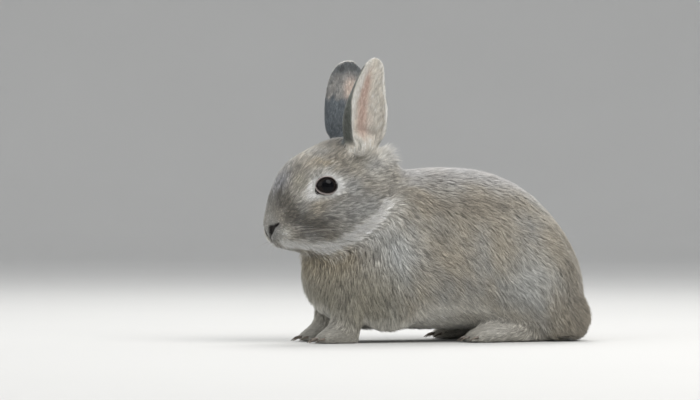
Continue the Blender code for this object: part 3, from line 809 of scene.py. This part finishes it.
def unwrap(surface, shares):
    """Each triangle corner's place on a square map with a flat chart for each part and facing."""
    centres = surface.points[surface.triangles].mean(1)
    normals = unit(surface.face_normals())
    limb = shares[surface.triangles[:, 0]].argmax(1)
    body = np.isin(limb, [REGIONS.index(name) for name in ("neck", "trunk", "thigh", "tail")])
    limb = np.where(body, REGIONS.index("trunk"), limb)
    axis = np.abs(normals).argmax(1)
    facing = axis * 2 + (normals[np.arange(len(axis)), axis] > 0)
    chart = (limb * 2 + (centres[:, 1] > HEAD_ORIGIN[1] * (limb < 2)) * (~body)) * 6 + facing
    flat = np.empty((len(chart), 3, 2))
    sizes, lows = {}, {}
    for key in np.unique(chart):
        own = chart == key
        keep = [i for i in range(3) if i != axis[own][0]]
        flat[own] = surface.points[surface.triangles[own]][:, :, keep]
        lows[key] = flat[own].reshape(-1, 2).min(0)
        sizes[key] = flat[own].reshape(-1, 2).max(0) - lows[key]
    width = math.sqrt(sum(size.prod() for size in sizes.values())) * CHART_FILL
    left, bottom, row = 0.0, 0.0, 0.0
    for key in sorted(sizes, key=lambda k: -sizes[k][1]):
        if left + sizes[key][0] > width:
            left, bottom, row = 0.0, bottom + row + CHART_GAP, 0.0
        flat[chart == key] += np.array([left, bottom]) - lows[key]
        left += sizes[key][0] + CHART_GAP
        row = max(row, sizes[key][1])
    return flat / max(width + CHART_GAP, bottom + row) * (1 - 2 * PATCH) + PATCH


def set_map(mesh, places):
    """Gives a mesh of triangles the OFBake map."""
    layer = mesh.uv_layers.new(name="OFBake")
    layer.data.foreach_set("uv", np.asarray(places, np.float32).ravel())


# -------- the tufts
TUFT_SEED = 20
LENGTH_SPREAD, WIDTH_SPREAD, PULL_SPREAD = (0.7, 1.25), (0.7, 1.2), (0.4, 1.2)  # of single tufts
WIDEST = (0.16, 0.12)  # a tuft's greatest width: a share of its length and what is added
STRAYING = math.radians(9)  # how far single tufts turn from the lie
TIP_HEIGHT = (0.45, 1.0)  # where tips lie, as shares of the coat's depth
CLUMP_LIFT = 0.3  # the clump's share in how high a tip lies
BEND_RISE = (0.22, 0.15)  # how far a bend rises: a share of the tip's height and what is added
LEAST_HEIGHT = 0.15  # of tips and bends above the floor
ROOT_DEPTH = 0.25  # how far a tuft is rooted under the skin
EAR_TICKING = 0.3  # the further share of dark tips high on the ears' backs
MUZZLE_SIDE = ((18, 17, 86), (20, 14, 15))  # head place and radii
MUZZLE_DARK = 0.6  # the share of dark tips there
DARK_CLUMPS, CLUMP_CHANCES = 0.22, (2.6, 0.55)  # share of dark clumps; gain of the chance in and out of them
DARK_LIGHTNESS = (-0.62, -0.45)  # dark tips thin out where the coat is lighter than this
BRIGHT_TIPS = 0.14
TIP_GAIN = 1.07  # how much lighter tips are than the markings
TIP_TURN = 0.4  # how far the light on a tip is turned along the hair
TUFT_SHADE = 0.10  # how much single tufts differ in lightness
SLEEK_BACK = 0.45  # how much more even the coat is along the back


class Tufts:
    """Where every tuft is rooted and what it is like."""

    def __init__(self, coat, corner_map):
        self.draw = draw = np.random.default_rng(TUFT_SEED)
        surface = coat.surface
        ear = ramp(coat.ear_share, 0.3, 0.7)
        bending = coat.of_region("bending") * (1 - ear)
        straight = coat.of_region("straight") * (1 - ear)
        straight += EAR_COAT["straight"] * ear
        density = (bending + straight) * hairiness(coat)
        areas = np.linalg.norm(surface.face_normals(), axis=1) / 2
        expected = areas * density[surface.triangles].mean(1)
        counts = np.floor(expected + draw.random(len(expected))).astype(int)
        face = np.repeat(np.arange(len(counts)), counts)
        first, second = draw.random(len(face)), draw.random(len(face))
        over = first + second > 1
        first[over], second[over] = 1 - first[over], 1 - second[over]
        self.weights = np.stack([1 - first - second, first, second], 1)
        self.corners = surface.triangles[face]
        self.count = len(face)
        self.root = self.at(surface.points)
        self.normal = unit(self.at(coat.normal))
        self.lie = tangent(self.at(coat.lie), self.normal)
        self.map_place = (corner_map[face] * self.weights[:, :, None]).sum(1)
        self.shares = self.at(coat.region)
        self.ear = self.at(coat.ear_share)
        self.density = np.maximum(self.at(density), 0.3)
        self.bends = draw.random(self.count) < self.at(bending / (bending + straight))

    def at(self, field):
        """A field of the skin's points, read at the roots."""
        weights = self.weights if field.ndim == 1 else self.weights[:, :, None]
        return (field[self.corners] * weights).sum(1)


def hairiness(coat):
    """0 between the lids, in the nostrils and the mouth, and less than 1 deep in the ears and below."""
    grown = ramp(coat.beyond_lids, 0.6, 1.0) * ramp(coat.beyond_nostril, 0.2, 0.8)
    grown *= ramp(coat.from_lips, 0.5, 1.0)
    hollow = 1 - 0.6 * coat.inner_ear * fall(np.abs(coat.ear_turn), 0.1, 0.25)
    below = 1 - 0.6 * ramp(-coat.normal[:, 2], 0.6, 0.9) * fall(coat.surface.points[:, 2], 10, 25)
    return grown * hollow * below


def tuft_length(coat):
    """How long the hairs are at each point."""
    face = coat.share("face") * (1 - coat.ear_share)
    on_face = 1.2 + 5.0 * ramp(coat.from_nose, 2, 48)
    length = blend(coat.of_region("length"), on_face, ramp(face, 0.4, 0.8))
    length *= 1 - 0.55 * face * fall(coat.beyond_lids, 1, 9)
    length *= (1 + 0.3 * coat.chest) * (1 + 0.35 * coat.nape)
    length += 2.5 * coat.crescent * ramp(coat.from_nose, 20, 50)
    inner = coat.inner_ear * (1.0 + 2.5 * fall(coat.ear_height, 0.3, 0.6))
    length = blend(length, EAR_COAT["length"] * (1 + 0.4 * inner), ramp(coat.ear_share, 0.3, 0.8))
    return length + 3.5 * coat.ear_root


def clump_tips(tufts, tips, spacing, pull):
    """Draws each tuft's tip towards that of its clump, and returns the tips and each tuft's clump."""
    chosen = np.flatnonzero(tufts.draw.random(tufts.count) < 1 / (spacing ** 2 * tufts.density))
    tree = KDTree(len(chosen))
    for index, place in enumerate(tufts.root[chosen].tolist()):
        tree.insert(place, index)
    tree.balance()
    clump = np.array([tree.find(place)[1] for place in tufts.root.tolist()])
    return mix(tips, tips[chosen][clump], pull * tufts.draw.uniform(*PULL_SPREAD, tufts.count)), clump


def grow(coat, corner_map):
    """All tufts with their roots, bends, tips, widths and colours."""
    tufts = Tufts(coat, corner_map)
    draw, surface, count = tufts.draw, coat.surface, tufts.count
    length = tufts.at(tuft_length(coat)) * draw.uniform(*LENGTH_SPREAD, count)
    tufts.width = tufts.at(coat.of_region("width")) * draw.uniform(*WIDTH_SPREAD, count)
    tufts.width = np.minimum(tufts.width, length * WIDEST[0] + WIDEST[1])
    way = swung(STRAYING * draw.normal(size=count), tufts.lie, np.cross(tufts.normal, tufts.lie))
    spacing = tufts.at(coat.of_region("spacing") + 0.8 * coat.nape)
    pull = tufts.at(coat.of_region("pull") + 0.25 * coat.chest + 0.4 * coat.nape)
    reach, clump = clump_tips(tufts, tufts.root + way * length[:, None], spacing, pull)
    clumps = clump.max() + 1
    lift = draw.uniform(*TIP_HEIGHT, count) * (1 - CLUMP_LIFT)
    lift += CLUMP_LIFT * draw.uniform(*TIP_HEIGHT, clumps)[clump]
    lift *= tufts.at(1 + 0.5 * coat.nape + 0.9 * coat.crescent + 0.35 * coat.chest)
    lift *= 1 + tufts.at(coat.nape) * NAPE_RAGGED * draw.uniform(-0.5, 1, clumps)[clump]
    tree = search_tree(surface.points, surface.triangles)
    found = [tree.find_nearest(place) for place in reach.tolist()]
    ground = np.array([hit[0] for hit in found])
    under = surface.triangles[[hit[2] for hit in found]]
    height = np.maximum(coat.depth[under].mean(1), tufts.at(coat.depth) * 0.5) * lift
    tufts.tip = ground + unit(coat.normal[under].mean(1)) * height[:, None]
    rise = BEND_RISE[0] * height + BEND_RISE[1]
    tufts.bend = (tufts.root + tufts.tip) / 2 + tufts.normal * rise[:, None]
    for ends in (tufts.tip, tufts.bend):
        ends[:, 2] = np.maximum(ends[:, 2], LEAST_HEIGHT)
    sleek = 1 - SLEEK_BACK * ramp(coat.normal[:, 2], 0.35, 0.8) * (1 - coat.share("face"))
    sleek *= 1 - 0.6 * coat.crescent
    clump_shade = tufts.at(coat.of_region("shade") * sleek) * draw.normal(size=clumps)[clump]
    shade = 1 + clump_shade + TUFT_SHADE * draw.normal(size=count)
    colour_tufts(coat, tufts, coat.colour[under].mean(1), shade, clump)
    return tufts


def colour_tufts(coat, tufts, shown, shade, clump):
    """The colours at each tuft's root, bend and tip; the tip's are those of the skin where it lies."""
    colour, lightness, draw = tufts.at(coat.colour), shown.mean(1), tufts.draw
    chance = tufts.at(coat.of_region("dark") + 0.15 * coat.chest)
    muzzle = blob(tufts.at(coat.folded), *MUZZLE_SIDE) * tufts.shares[:, REGIONS.index("face")]
    chance = blend(chance, MUZZLE_DARK, capped(1.4 * muzzle))
    ear_back = tufts.ear * (1 - tufts.at(coat.inner_ear))
    chance += EAR_TICKING * ear_back * ramp(tufts.at(coat.ear_height), 0.66, 0.70)
    chance = chance * ramp(-lightness, *DARK_LIGHTNESS)
    dark_clump = (draw.random(clump.max() + 1) < DARK_CLUMPS)[clump]
    dark = draw.random(tufts.count) < chance * np.where(dark_clump, *CLUMP_CHANCES)
    bright = draw.random(tufts.count) < BRIGHT_TIPS
    tint = np.clip(shade, 0.45, 1.5)[:, None] * TIP_GAIN
    # Roots, and a little the bends, are darker: the slate undercoat and painted shade deep in the coat.
    root = mix(colour * 0.52, SLATE, ramp(-lightness, -0.6, -0.3) * 0.35)
    tip = shown * tint
    tip[dark] = tip[dark] * 0.38 + np.array(SLATE) * 0.3
    tip[bright] = np.minimum(tip[bright] * 1.18, 0.9)
    tufts.colours = np.clip(np.stack([root, (colour + shown) / 2 * tint * 0.94, tip], 1), 0.01, 0.95)


SPIKE_CORNERS = [(-0.5, 0.0), (0.5, 0.0), (0.0, 0.4)]  # sideways and up, in widths
CORNER_PAIRS = ((0, 1), (1, 2), (2, 0))
UNDERSIDE = {True: [1, 2, 7], False: [1]}  # which faces of a bending or a straight spike look at the skin
FACES_OF_TUFT = {True: 10, False: 4}


def spikes(tufts, chosen, bending):
    """Closed three-sided spikes: points, faces, corner normals, colours and map places."""
    root, bend, tip = tufts.root[chosen], tufts.bend[chosen], tufts.tip[chosen]
    normal, width = tufts.normal[chosen], tufts.width[chosen][:, None]
    way = unit(tip - root)
    across = unit(np.cross(way, normal))
    up = np.cross(across, way)
    root = root - up * ROOT_DEPTH
    rings = [(root, 0.7, 0, 0.0), (bend, 1.0, 1, 0.5)] if bending else [(root, 1.0, 0, 0.0)]
    columns = [(centre + across * (sideways * share * width) + up * (upward * share * width),
                unit(normal * 0.8 + across * sideways), tufts.colours[chosen, stop],
                tufts.map_place[chosen] + PATCH * np.array([sideways, along - 0.5]))
               for centre, share, stop, along in rings for sideways, upward in SPIKE_CORNERS]
    columns.append((tip, unit(normal + way * TIP_TURN), tufts.colours[chosen, 2],
                    tufts.map_place[chosen] + PATCH * np.array([0.0, 0.5])))
    end = len(columns) - 1
    pattern = [(0, 1, 2)]
    if bending:
        for first, second in CORNER_PAIRS:
            pattern += [(first, first + 3, second + 3), (first, second + 3, second)]
    pattern += [(end - 3 + first, end, end - 3 + second) for first, second in CORNER_PAIRS]
    starts = np.arange(len(root)) * len(columns)
    faces = (starts[:, None, None] + np.array(pattern)).reshape(-1, 3)
    points, normals, colours, places = (np.stack(parts, 1).reshape(-1, parts[0].shape[1])
                                        for parts in zip(*columns))
    points[:, 2] = np.maximum(points[:, 2], 0.0)
    corner_normals = normals[faces].reshape(len(root), len(pattern), 3, 3)
    corner_normals[:, UNDERSIDE[bending]] = unit(way * 0.5 - up)[:, None, None]
    return points, faces, corner_normals.reshape(-1, 3), colours, places


def coat_piece(name, tufts, chosen, bending, material):
    """One piece of coat, as a mesh of closed tufts."""
    points, faces, normals, colours, places = spikes(tufts, chosen, bending)
    made = new_mesh_object(name, points, faces, material, colours)
    set_map(made.data, places[faces.ravel()])
    made.data.normals_split_custom_set(normals.tolist())
    return made


# -------- materials
# Grain is a noise's scale, detail and stretch; a range is its low and high and what they are turned into.
FINISHES = dict(
    coat=dict(grain=(1400,), shades=(0.3, 0.7, 0.88, 1.12), gloss_grain=(900,),
              roughness=(0.3, 0.7, 0.55, 0.75),
              Sheen_Weight=0.25, Sheen_Roughness=0.45, Specular_IOR_Level=0.25),
    skin=dict(grain=(1900, 4.0, (0.35, 1, 1)), shades=(0.3, 0.7, 0.6, 1.0), gloss_grain=(500,),
              roughness=(0.3, 0.7, 0.6, 0.85), bump=(0.5, 0.0004),
              Specular_IOR_Level=0.3, Sheen_Weight=0.15),
    eye=dict(grain=(2600, 2.0), shades=(0.35, 0.65, 0.65, 1.3), gloss_grain=(260,),
             roughness=(0.3, 0.7, 0.03, 0.07),
             Coat_Weight=0.25, Coat_Roughness=0.02, Specular_IOR_Level=0.0),
    lid_edge=dict(grain=(2400,), shades=(0.3, 0.7, 0.75, 1.15),
                  roughness=(0.3, 0.7, 0.28, 0.45), bump=(0.3, 0.0002)),
    claw_horn=dict(grain=(900, 3.0, (0.2, 1, 1)), shades=(0.35, 0.65, 0.0, 1.0),
                   colours=((0.055, 0.042, 0.032, 1), (0.20, 0.165, 0.13, 1)),
                   roughness=(0.3, 0.7, 0.3, 0.5), bump=(0.25, 0.0003)),
    whisker=dict(grain=(300,), shades=(0.3, 0.7, 0.9, 1.1), roughness=(0.3, 0.7, 0.3, 0.45)),
    floor=dict(grain=(3.0,), shades=(0.0, 1.0, 0.0, 1.0), Roughness=0.8, Specular_IOR_Level=0.2,
               colours=((0.60, 0.60, 0.59, 1), (0.63, 0.63, 0.62, 1))),
)


def finish(name, grain, shades, gloss_grain=None, roughness=None, bump=None, colours=None, **sockets):
    """A material: the points' own colours under a fine grain, or two colours blended by it."""
    material = bpy.data.materials.new(name)
    material.use_nodes = True
    tree = material.node_tree
    shader = tree.nodes["Principled BSDF"].inputs

    def add(kind, values=(), links=(), **settings):
        node = tree.nodes.new(kind)
        for key, value in settings.items():
            setattr(node, key, value)
        for socket, value in values:
            node.inputs[socket].default_value = value
        for socket, source in links:
            tree.links.new(source, node.inputs[socket])
        return node.outputs

    def noise(scale, detail=3.0, stretch=(1, 1, 1)):
        place = add("ShaderNodeTexCoord")["Object"]
        place = add("ShaderNodeMapping", [("Scale", stretch)], [("Vector", place)])["Vector"]
        return add("ShaderNodeTexNoise", [("Scale", scale), ("Detail", detail)], [("Vector", place)])["Fac"]

    def ranged(value, limits):
        sockets = ("From Min", "From Max", "To Min", "To Max")
        return add("ShaderNodeMapRange", zip(sockets, limits), [("Value", value)])["Result"]

    fine = noise(*grain)
    shade = ranged(fine, shades)
    if colours:
        colour = add("ShaderNodeMix", zip("AB", colours), [("Factor", shade)], data_type="RGBA")["Result"]
    else:
        own = add("ShaderNodeAttribute", attribute_name=POINT_COLOUR)["Color"]
        colour = add("ShaderNodeVectorMath", (), [(0, own), ("Scale", shade)], operation="SCALE")["Vector"]
    tree.links.new(colour, shader["Base Color"])
    if roughness:
        gloss = noise(*gloss_grain) if gloss_grain else fine
        tree.links.new(ranged(gloss, roughness), shader["Roughness"])
    if bump:
        relief = add("ShaderNodeBump", zip(("Strength", "Distance"), bump), [("Height", fine)])["Normal"]
        tree.links.new(relief, shader["Normal"])
    for socket, value in sockets.items():
        shader[socket.replace("_", " ")].default_value = value
    return material


# -------- eyes, lids and whiskers
CORNEA_RISE = 0.35
PUPIL, IRIS, LIMBUS = (0.002, 0.002, 0.003), (0.009, 0.006, 0.005), (0.003, 0.002, 0.002)
SCLERA = (0.30, 0.24, 0.20)
LID_DARK, LID_PINK = (0.03, 0.022, 0.02), (0.44, 0.38, 0.36)
LID_WIDTH, LID_HEIGHT = 0.75, 0.42  # half the bare edge's section
LID_FLOOR = 3.4  # the least that the lids' edge lies in front of the ball's centre
WHISKER_ROWS = [(27.0, 9.0, 78.0), (25.0, 11.0, 75.0), (23.0, 12.5, 72.0), (21.0, 13.5, 69.5)]  # head places
WHISKERS_IN_ROW = 5
WHISKER_LENGTH, BROW_LENGTH = (20.0, 38.0), (12, 20)
WHISKER_REACH = 55.0  # from the middle plane
BROW_WHISKERS = [(5.0, 17.0, 121.0), (2.0, 18.0, 122.0), (-1.0, 18.5, 122.5)]
WHISKER_RADIUS = 0.11
WHISKER_DROOP = UP * 0.16 + HEAD_FORWARD * 0.10
WHISKER_STOPS = 7
WHISKER_PALE, WHISKER_ROOT = (0.75, 0.73, 0.68), (0.25, 0.22, 0.19)


def ring_faces(rings, segments, closed=False):
    """Triangles between rings of points; a closed run joins its last ring to its first."""
    faces = []
    for ring in range(rings if closed else rings - 1):
        first, second = ring * segments, (ring + 1) % rings * segments
        for step in range(segments):
            after = (step + 1) % segments
            faces += [(first + step, second + step, second + after),
                      (first + step, second + after, first + after)]
    return faces


def fan(base, segments, back=False):
    """Triangles that close a ring whose first point is base."""
    near, far = (1, 0) if back else (0, 1)
    return [(base, base + step + near, base + step + far) for step in range(1, segments - 1)]


def circle(stops):
    """Angles evenly round a circle."""
    return np.arange(stops) * 2 * math.pi / stops


def eyeball(side, material):
    """A ball with a raised cornea, and its iris and pupil coloured by the angle from its axis."""
    rings, segments = 40, 56
    look, ahead, above = eye_axes(side)
    tilt = np.repeat(np.linspace(0.004, math.pi - 0.004, rings), segments)
    turn = np.tile(circle(segments), rings)
    radius = EYE_RADIUS + CORNEA_RISE * np.exp(-(tilt / 0.62) ** 4)
    points = EYE_CENTRE[side] + radius[:, None] * swung(tilt, look, swung(turn, ahead, above))
    faces = ring_faces(rings, segments) + fan(0, segments) + fan((rings - 1) * segments, segments, back=True)
    faces = np.array(faces)[:, ::SIDES[side] * -1]
    colours = painted(PUPIL, (IRIS, ramp(tilt, 0.50, 0.60)), (LIMBUS, ramp(tilt, 0.84, 0.98)),
                      (SCLERA, ramp(tilt, 1.12, 1.2)))
    return new_mesh_object(f"eyeball_{side}", points, faces, material, colours)


def lid_edge(side, material):
    """The bare rim of the lids, a closed ring along the opening."""
    stops, sides = 72, 10
    look, ahead, above = eye_axes(side)
    angle, turn = circle(stops), circle(sides)
    radius = opening_radius(angle) + 0.15
    outward = swung(angle, ahead, above)
    height = np.sqrt(np.maximum((EYE_RADIUS + CORNEA_RISE) ** 2 - radius ** 2, LID_FLOOR ** 2))
    centres = EYE_CENTRE[side] + outward * radius[:, None] + look * height[:, None]
    rise = unit(centres - EYE_CENTRE[side])
    spread = tangent(outward, rise)
    points = (centres[:, None] + spread[:, None] * (LID_WIDTH * np.cos(turn))[None, :, None]
              + rise[:, None] * (LID_HEIGHT * np.sin(turn))[None, :, None]).reshape(-1, 3)
    faces = np.array(ring_faces(stops, sides, closed=True))[:, ::SIDES[side]]
    colours = mix(LID_DARK, LID_PINK, ramp(np.tile(np.cos(turn), stops), -0.8, 0.1))
    return new_mesh_object(f"lid_edge_{side}", points, faces, material, colours)


def whisker_paths(side, tree):
    """The bent lines of one side's whiskers, from the skin outwards."""
    draw = np.random.default_rng(41)
    out = -SIDES[side]
    paths = []
    for row, (ahead, left, up) in enumerate(WHISKER_ROWS):
        for place in range(WHISKERS_IN_ROW):
            start = from_head(ahead - 2.4 * place, out * (left + 0.7 * place), up + draw.uniform(-0.6, 0.6))
            sweep = math.radians(draw.uniform(-12, 4) + 15 * place)
            way = out * HEAD_LEFT * math.cos(sweep) - HEAD_FORWARD * math.sin(sweep)
            paths.append((start, way + UP * (0.25 - 0.22 * row), draw.uniform(*WHISKER_LENGTH)))
    for ahead, left, up in BROW_WHISKERS:
        way = UP + 0.5 * out * HEAD_LEFT + 0.15 * HEAD_FORWARD
        paths.append((from_head(ahead, out * left, up), way, draw.uniform(*BROW_LENGTH)))
    along = np.linspace(0, 1, WHISKER_STOPS)[:, None]
    for start, way, length in paths:
        root = np.array(tree.find_nearest(start.tolist())[0])
        way = way / np.linalg.norm(way)
        length = min(length, (WHISKER_REACH - abs(root[1])) / max(abs(way[1]), 0.1))
        yield root - way * 0.4 + way * along * length - WHISKER_DROOP * length * along ** 2


def whiskers(side, tree, material):
    """One side's whiskers as thin closed spikes."""
    share = np.arange(WHISKER_STOPS) / (WHISKER_STOPS - 1)
    radius = WHISKER_RADIUS * (1 - 0.85 * share)
    section = radius[:, None, None] * swung(circle(3), HEAD_FORWARD, UP)
    points = np.array([path[:, None] + section for path in whisker_paths(side, tree)])
    tube = ring_faces(WHISKER_STOPS, 3) + fan(0, 3, back=True) + fan(3 * (WHISKER_STOPS - 1), 3)
    starts = np.arange(len(points)) * 3 * WHISKER_STOPS
    faces = (np.array(tube) + starts[:, None, None]).reshape(-1, 3)[:, ::SIDES[side]]
    colours = np.tile(np.repeat(mix(WHISKER_ROOT, WHISKER_PALE, share), 3, axis=0), (len(points), 1))
    return new_mesh_object(f"whiskers_{side}", points.reshape(-1, 3), faces, material, colours)


# -------- the studio, in metres
CAMERA_AZIMUTH = math.radians(-18)
CAMERA_DISTANCE = 2.4
CAMERA_HEIGHT = 0.0987
CAMERA_ASIDE = -0.0509  # how far right of the part's middle the camera aims
VIEW_WIDTH = 0.49  # what the frame spans at the part
# Lights: azimuth and height in degrees, distance and size, watts, colour.
LIGHTS = [
    ("key", 28, 52, 1.5, 1.2, 15, (1.0, 0.98, 0.95)),
    ("top", 160, 62, 1.5, 1.0, 13, (1.0, 0.99, 0.97)),
    ("fill", -75, 22, 1.9, 1.4, 6, (0.96, 0.98, 1.0)),
]
LIT_HEIGHT = 0.08
SKY_COLOUR, SKY_STRENGTH = (0.97, 0.98, 1.0, 1), 0.8
FLOOR_RADIUS, COVE_RADIUS, WALL_TOP = 3.4, 1.6, 3.6


def stand(name, data, place, back):
    """Puts a camera or a lamp at a place, with its back towards a direction."""
    made = bpy.data.objects.new(name, data)
    made.location = place
    made.rotation_mode = "QUATERNION"
    made.rotation_quaternion = back.to_track_quat("Z", "Y")
    bpy.context.scene.collection.objects.link(made)
    return made


def add_camera():
    """The camera, level with the rabbit's shoulder and off to its left front."""
    right = Vector((math.cos(CAMERA_AZIMUTH), math.sin(CAMERA_AZIMUTH), 0))
    back = Vector((math.sin(CAMERA_AZIMUTH), -math.cos(CAMERA_AZIMUTH), 0))
    data = bpy.data.cameras.new("camera")
    data.sensor_width = 36.0
    data.lens = data.sensor_width * CAMERA_DISTANCE / VIEW_WIDTH
    data.clip_start, data.clip_end = 0.05, 50
    place = right * CAMERA_ASIDE + Vector((0, 0, CAMERA_HEIGHT)) + back * CAMERA_DISTANCE
    bpy.context.scene.camera = stand("camera", data, place, back)


def add_lights():
    """Large soft lights round the rabbit and a pale sky."""
    for name, azimuth, height, distance, size, watts, colour in LIGHTS:
        data = bpy.data.lights.new(name, "AREA")
        data.shape = "DISK"
        data.size, data.energy, data.color = size, watts, colour
        around, up = math.radians(azimuth), math.radians(height)
        way = Vector((math.sin(around) * math.cos(up), -math.cos(around) * math.cos(up), math.sin(up)))
        stand(name, data, way * distance + Vector((0, 0, LIT_HEIGHT)), way).visible_camera = False
    world = bpy.data.worlds.new("sky")
    world.use_nodes = True
    sky = world.node_tree.nodes["Background"].inputs
    sky["Color"].default_value, sky["Strength"].default_value = SKY_COLOUR, SKY_STRENGTH
    bpy.context.scene.world = world
    bpy.context.scene.view_settings.view_transform = "Standard"


def add_floor():
    """A round floor that curves up into a pale wall."""
    angles, segments = np.arange(1, 13) / 12 * math.pi / 2, 96
    profile = [(0.01, 0.0), (0.6, 0.0), (FLOOR_RADIUS, 0.0)]
    profile += [(FLOOR_RADIUS + COVE_RADIUS * math.sin(a), COVE_RADIUS * (1 - math.cos(a))) for a in angles]
    profile.append((FLOOR_RADIUS + COVE_RADIUS, WALL_TOP))
    points = [(radius * math.cos(a), radius * math.sin(a), up)
              for radius, up in profile for a in circle(segments)]
    faces = ring_faces(len(profile), segments) + fan(0, segments)
    floor = new_mesh_object("floor", np.array(points) * METRE, faces, finish("floor", **FINISHES["floor"]))


# -------- putting it together
FRONT_OF_TRUNK, REAR_OF_TRUNK = -25.0, 40.0
SKIN_SHADE = 0.68  # how much darker the skin is than the coat: the slate undercoat and painted shade deep in the coat
PIECE_LIMIT = 200000  # triangles in one piece of coat


def coat_groups(tufts):
    """The tufts of each part of the coat, by its name."""
    region, ear = tufts.shares.argmax(1), tufts.ear > 0.5
    own = {name: (region == index) & ~ear for index, name in enumerate(REGIONS)}
    head_left = to_head(tufts.root)[:, 1] > 0
    along, across = tufts.root[:, 0], tufts.root[:, 1]
    front, rear = along < FRONT_OF_TRUNK, along > REAR_OF_TRUNK
    groups = {"neck": own["neck"], "tail": own["tail"]}
    for side, mask, head_mask in (("left", across < 0, head_left), ("right", across >= 0, ~head_left)):
        parts = dict(ear=ear & head_mask, face=own["face"] & head_mask, thigh=own["thigh"] & mask,
                     legs=(own["foreleg"] | own["paw"] | own["foot"]) & mask,
                     shoulder=own["trunk"] & mask & front, flank=own["trunk"] & mask & ~front & ~rear,
                     rump=own["trunk"] & mask & rear)
        groups.update((f"{part}_{side}", members) for part, members in parts.items())
    return groups


def dress():
    """Makes every piece of the visible rabbit."""
    finishes = {name: finish(name, **FINISHES[name]) for name in FINISHES if name != "floor"}
    coat = Coat()
    surface = coat.surface
    corner_map = unwrap(surface, coat.region)
    shades = coat.colour * SKIN_SHADE
    skin = new_mesh_object("skin", surface.points, surface.triangles, finishes["skin"], shades)
    set_map(skin.data, corner_map.reshape(-1, 2))
    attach(skin, "root")
    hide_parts(*FLESH)
    tufts = grow(coat, corner_map)
    for name, members in coat_groups(tufts).items():
        for word, bending in (("under", False), ("over", True)):
            chosen = np.flatnonzero(members & (tufts.bends == bending))
            if not len(chosen):
                continue
            assert len(chosen) * FACES_OF_TUFT[bending] < PIECE_LIMIT, name
            piece = coat_piece(f"coat_{word}_{name}", tufts, chosen, bending, finishes["coat"])
            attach(piece, "root")
            "ear" if "ear" in name else "fur"
    tree = search_tree(surface.points, surface.triangles)
    for side in SIDES:
        ball = eyeball(side, finishes["eye"])
        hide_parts(f"eye_{side}")
        rim, hairs = lid_edge(side, finishes["lid_edge"]), whiskers(side, tree, finishes["whisker"])
        for piece, slot in ((ball, "eye"), (rim, "eye"), (hairs, "fur")):
            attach(piece, "root")
    for node in CLAWS:
        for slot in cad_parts[node].material_slots:
            slot.material = finishes["claw_horn"]


add_camera()
add_lights()
add_floor()
dress()
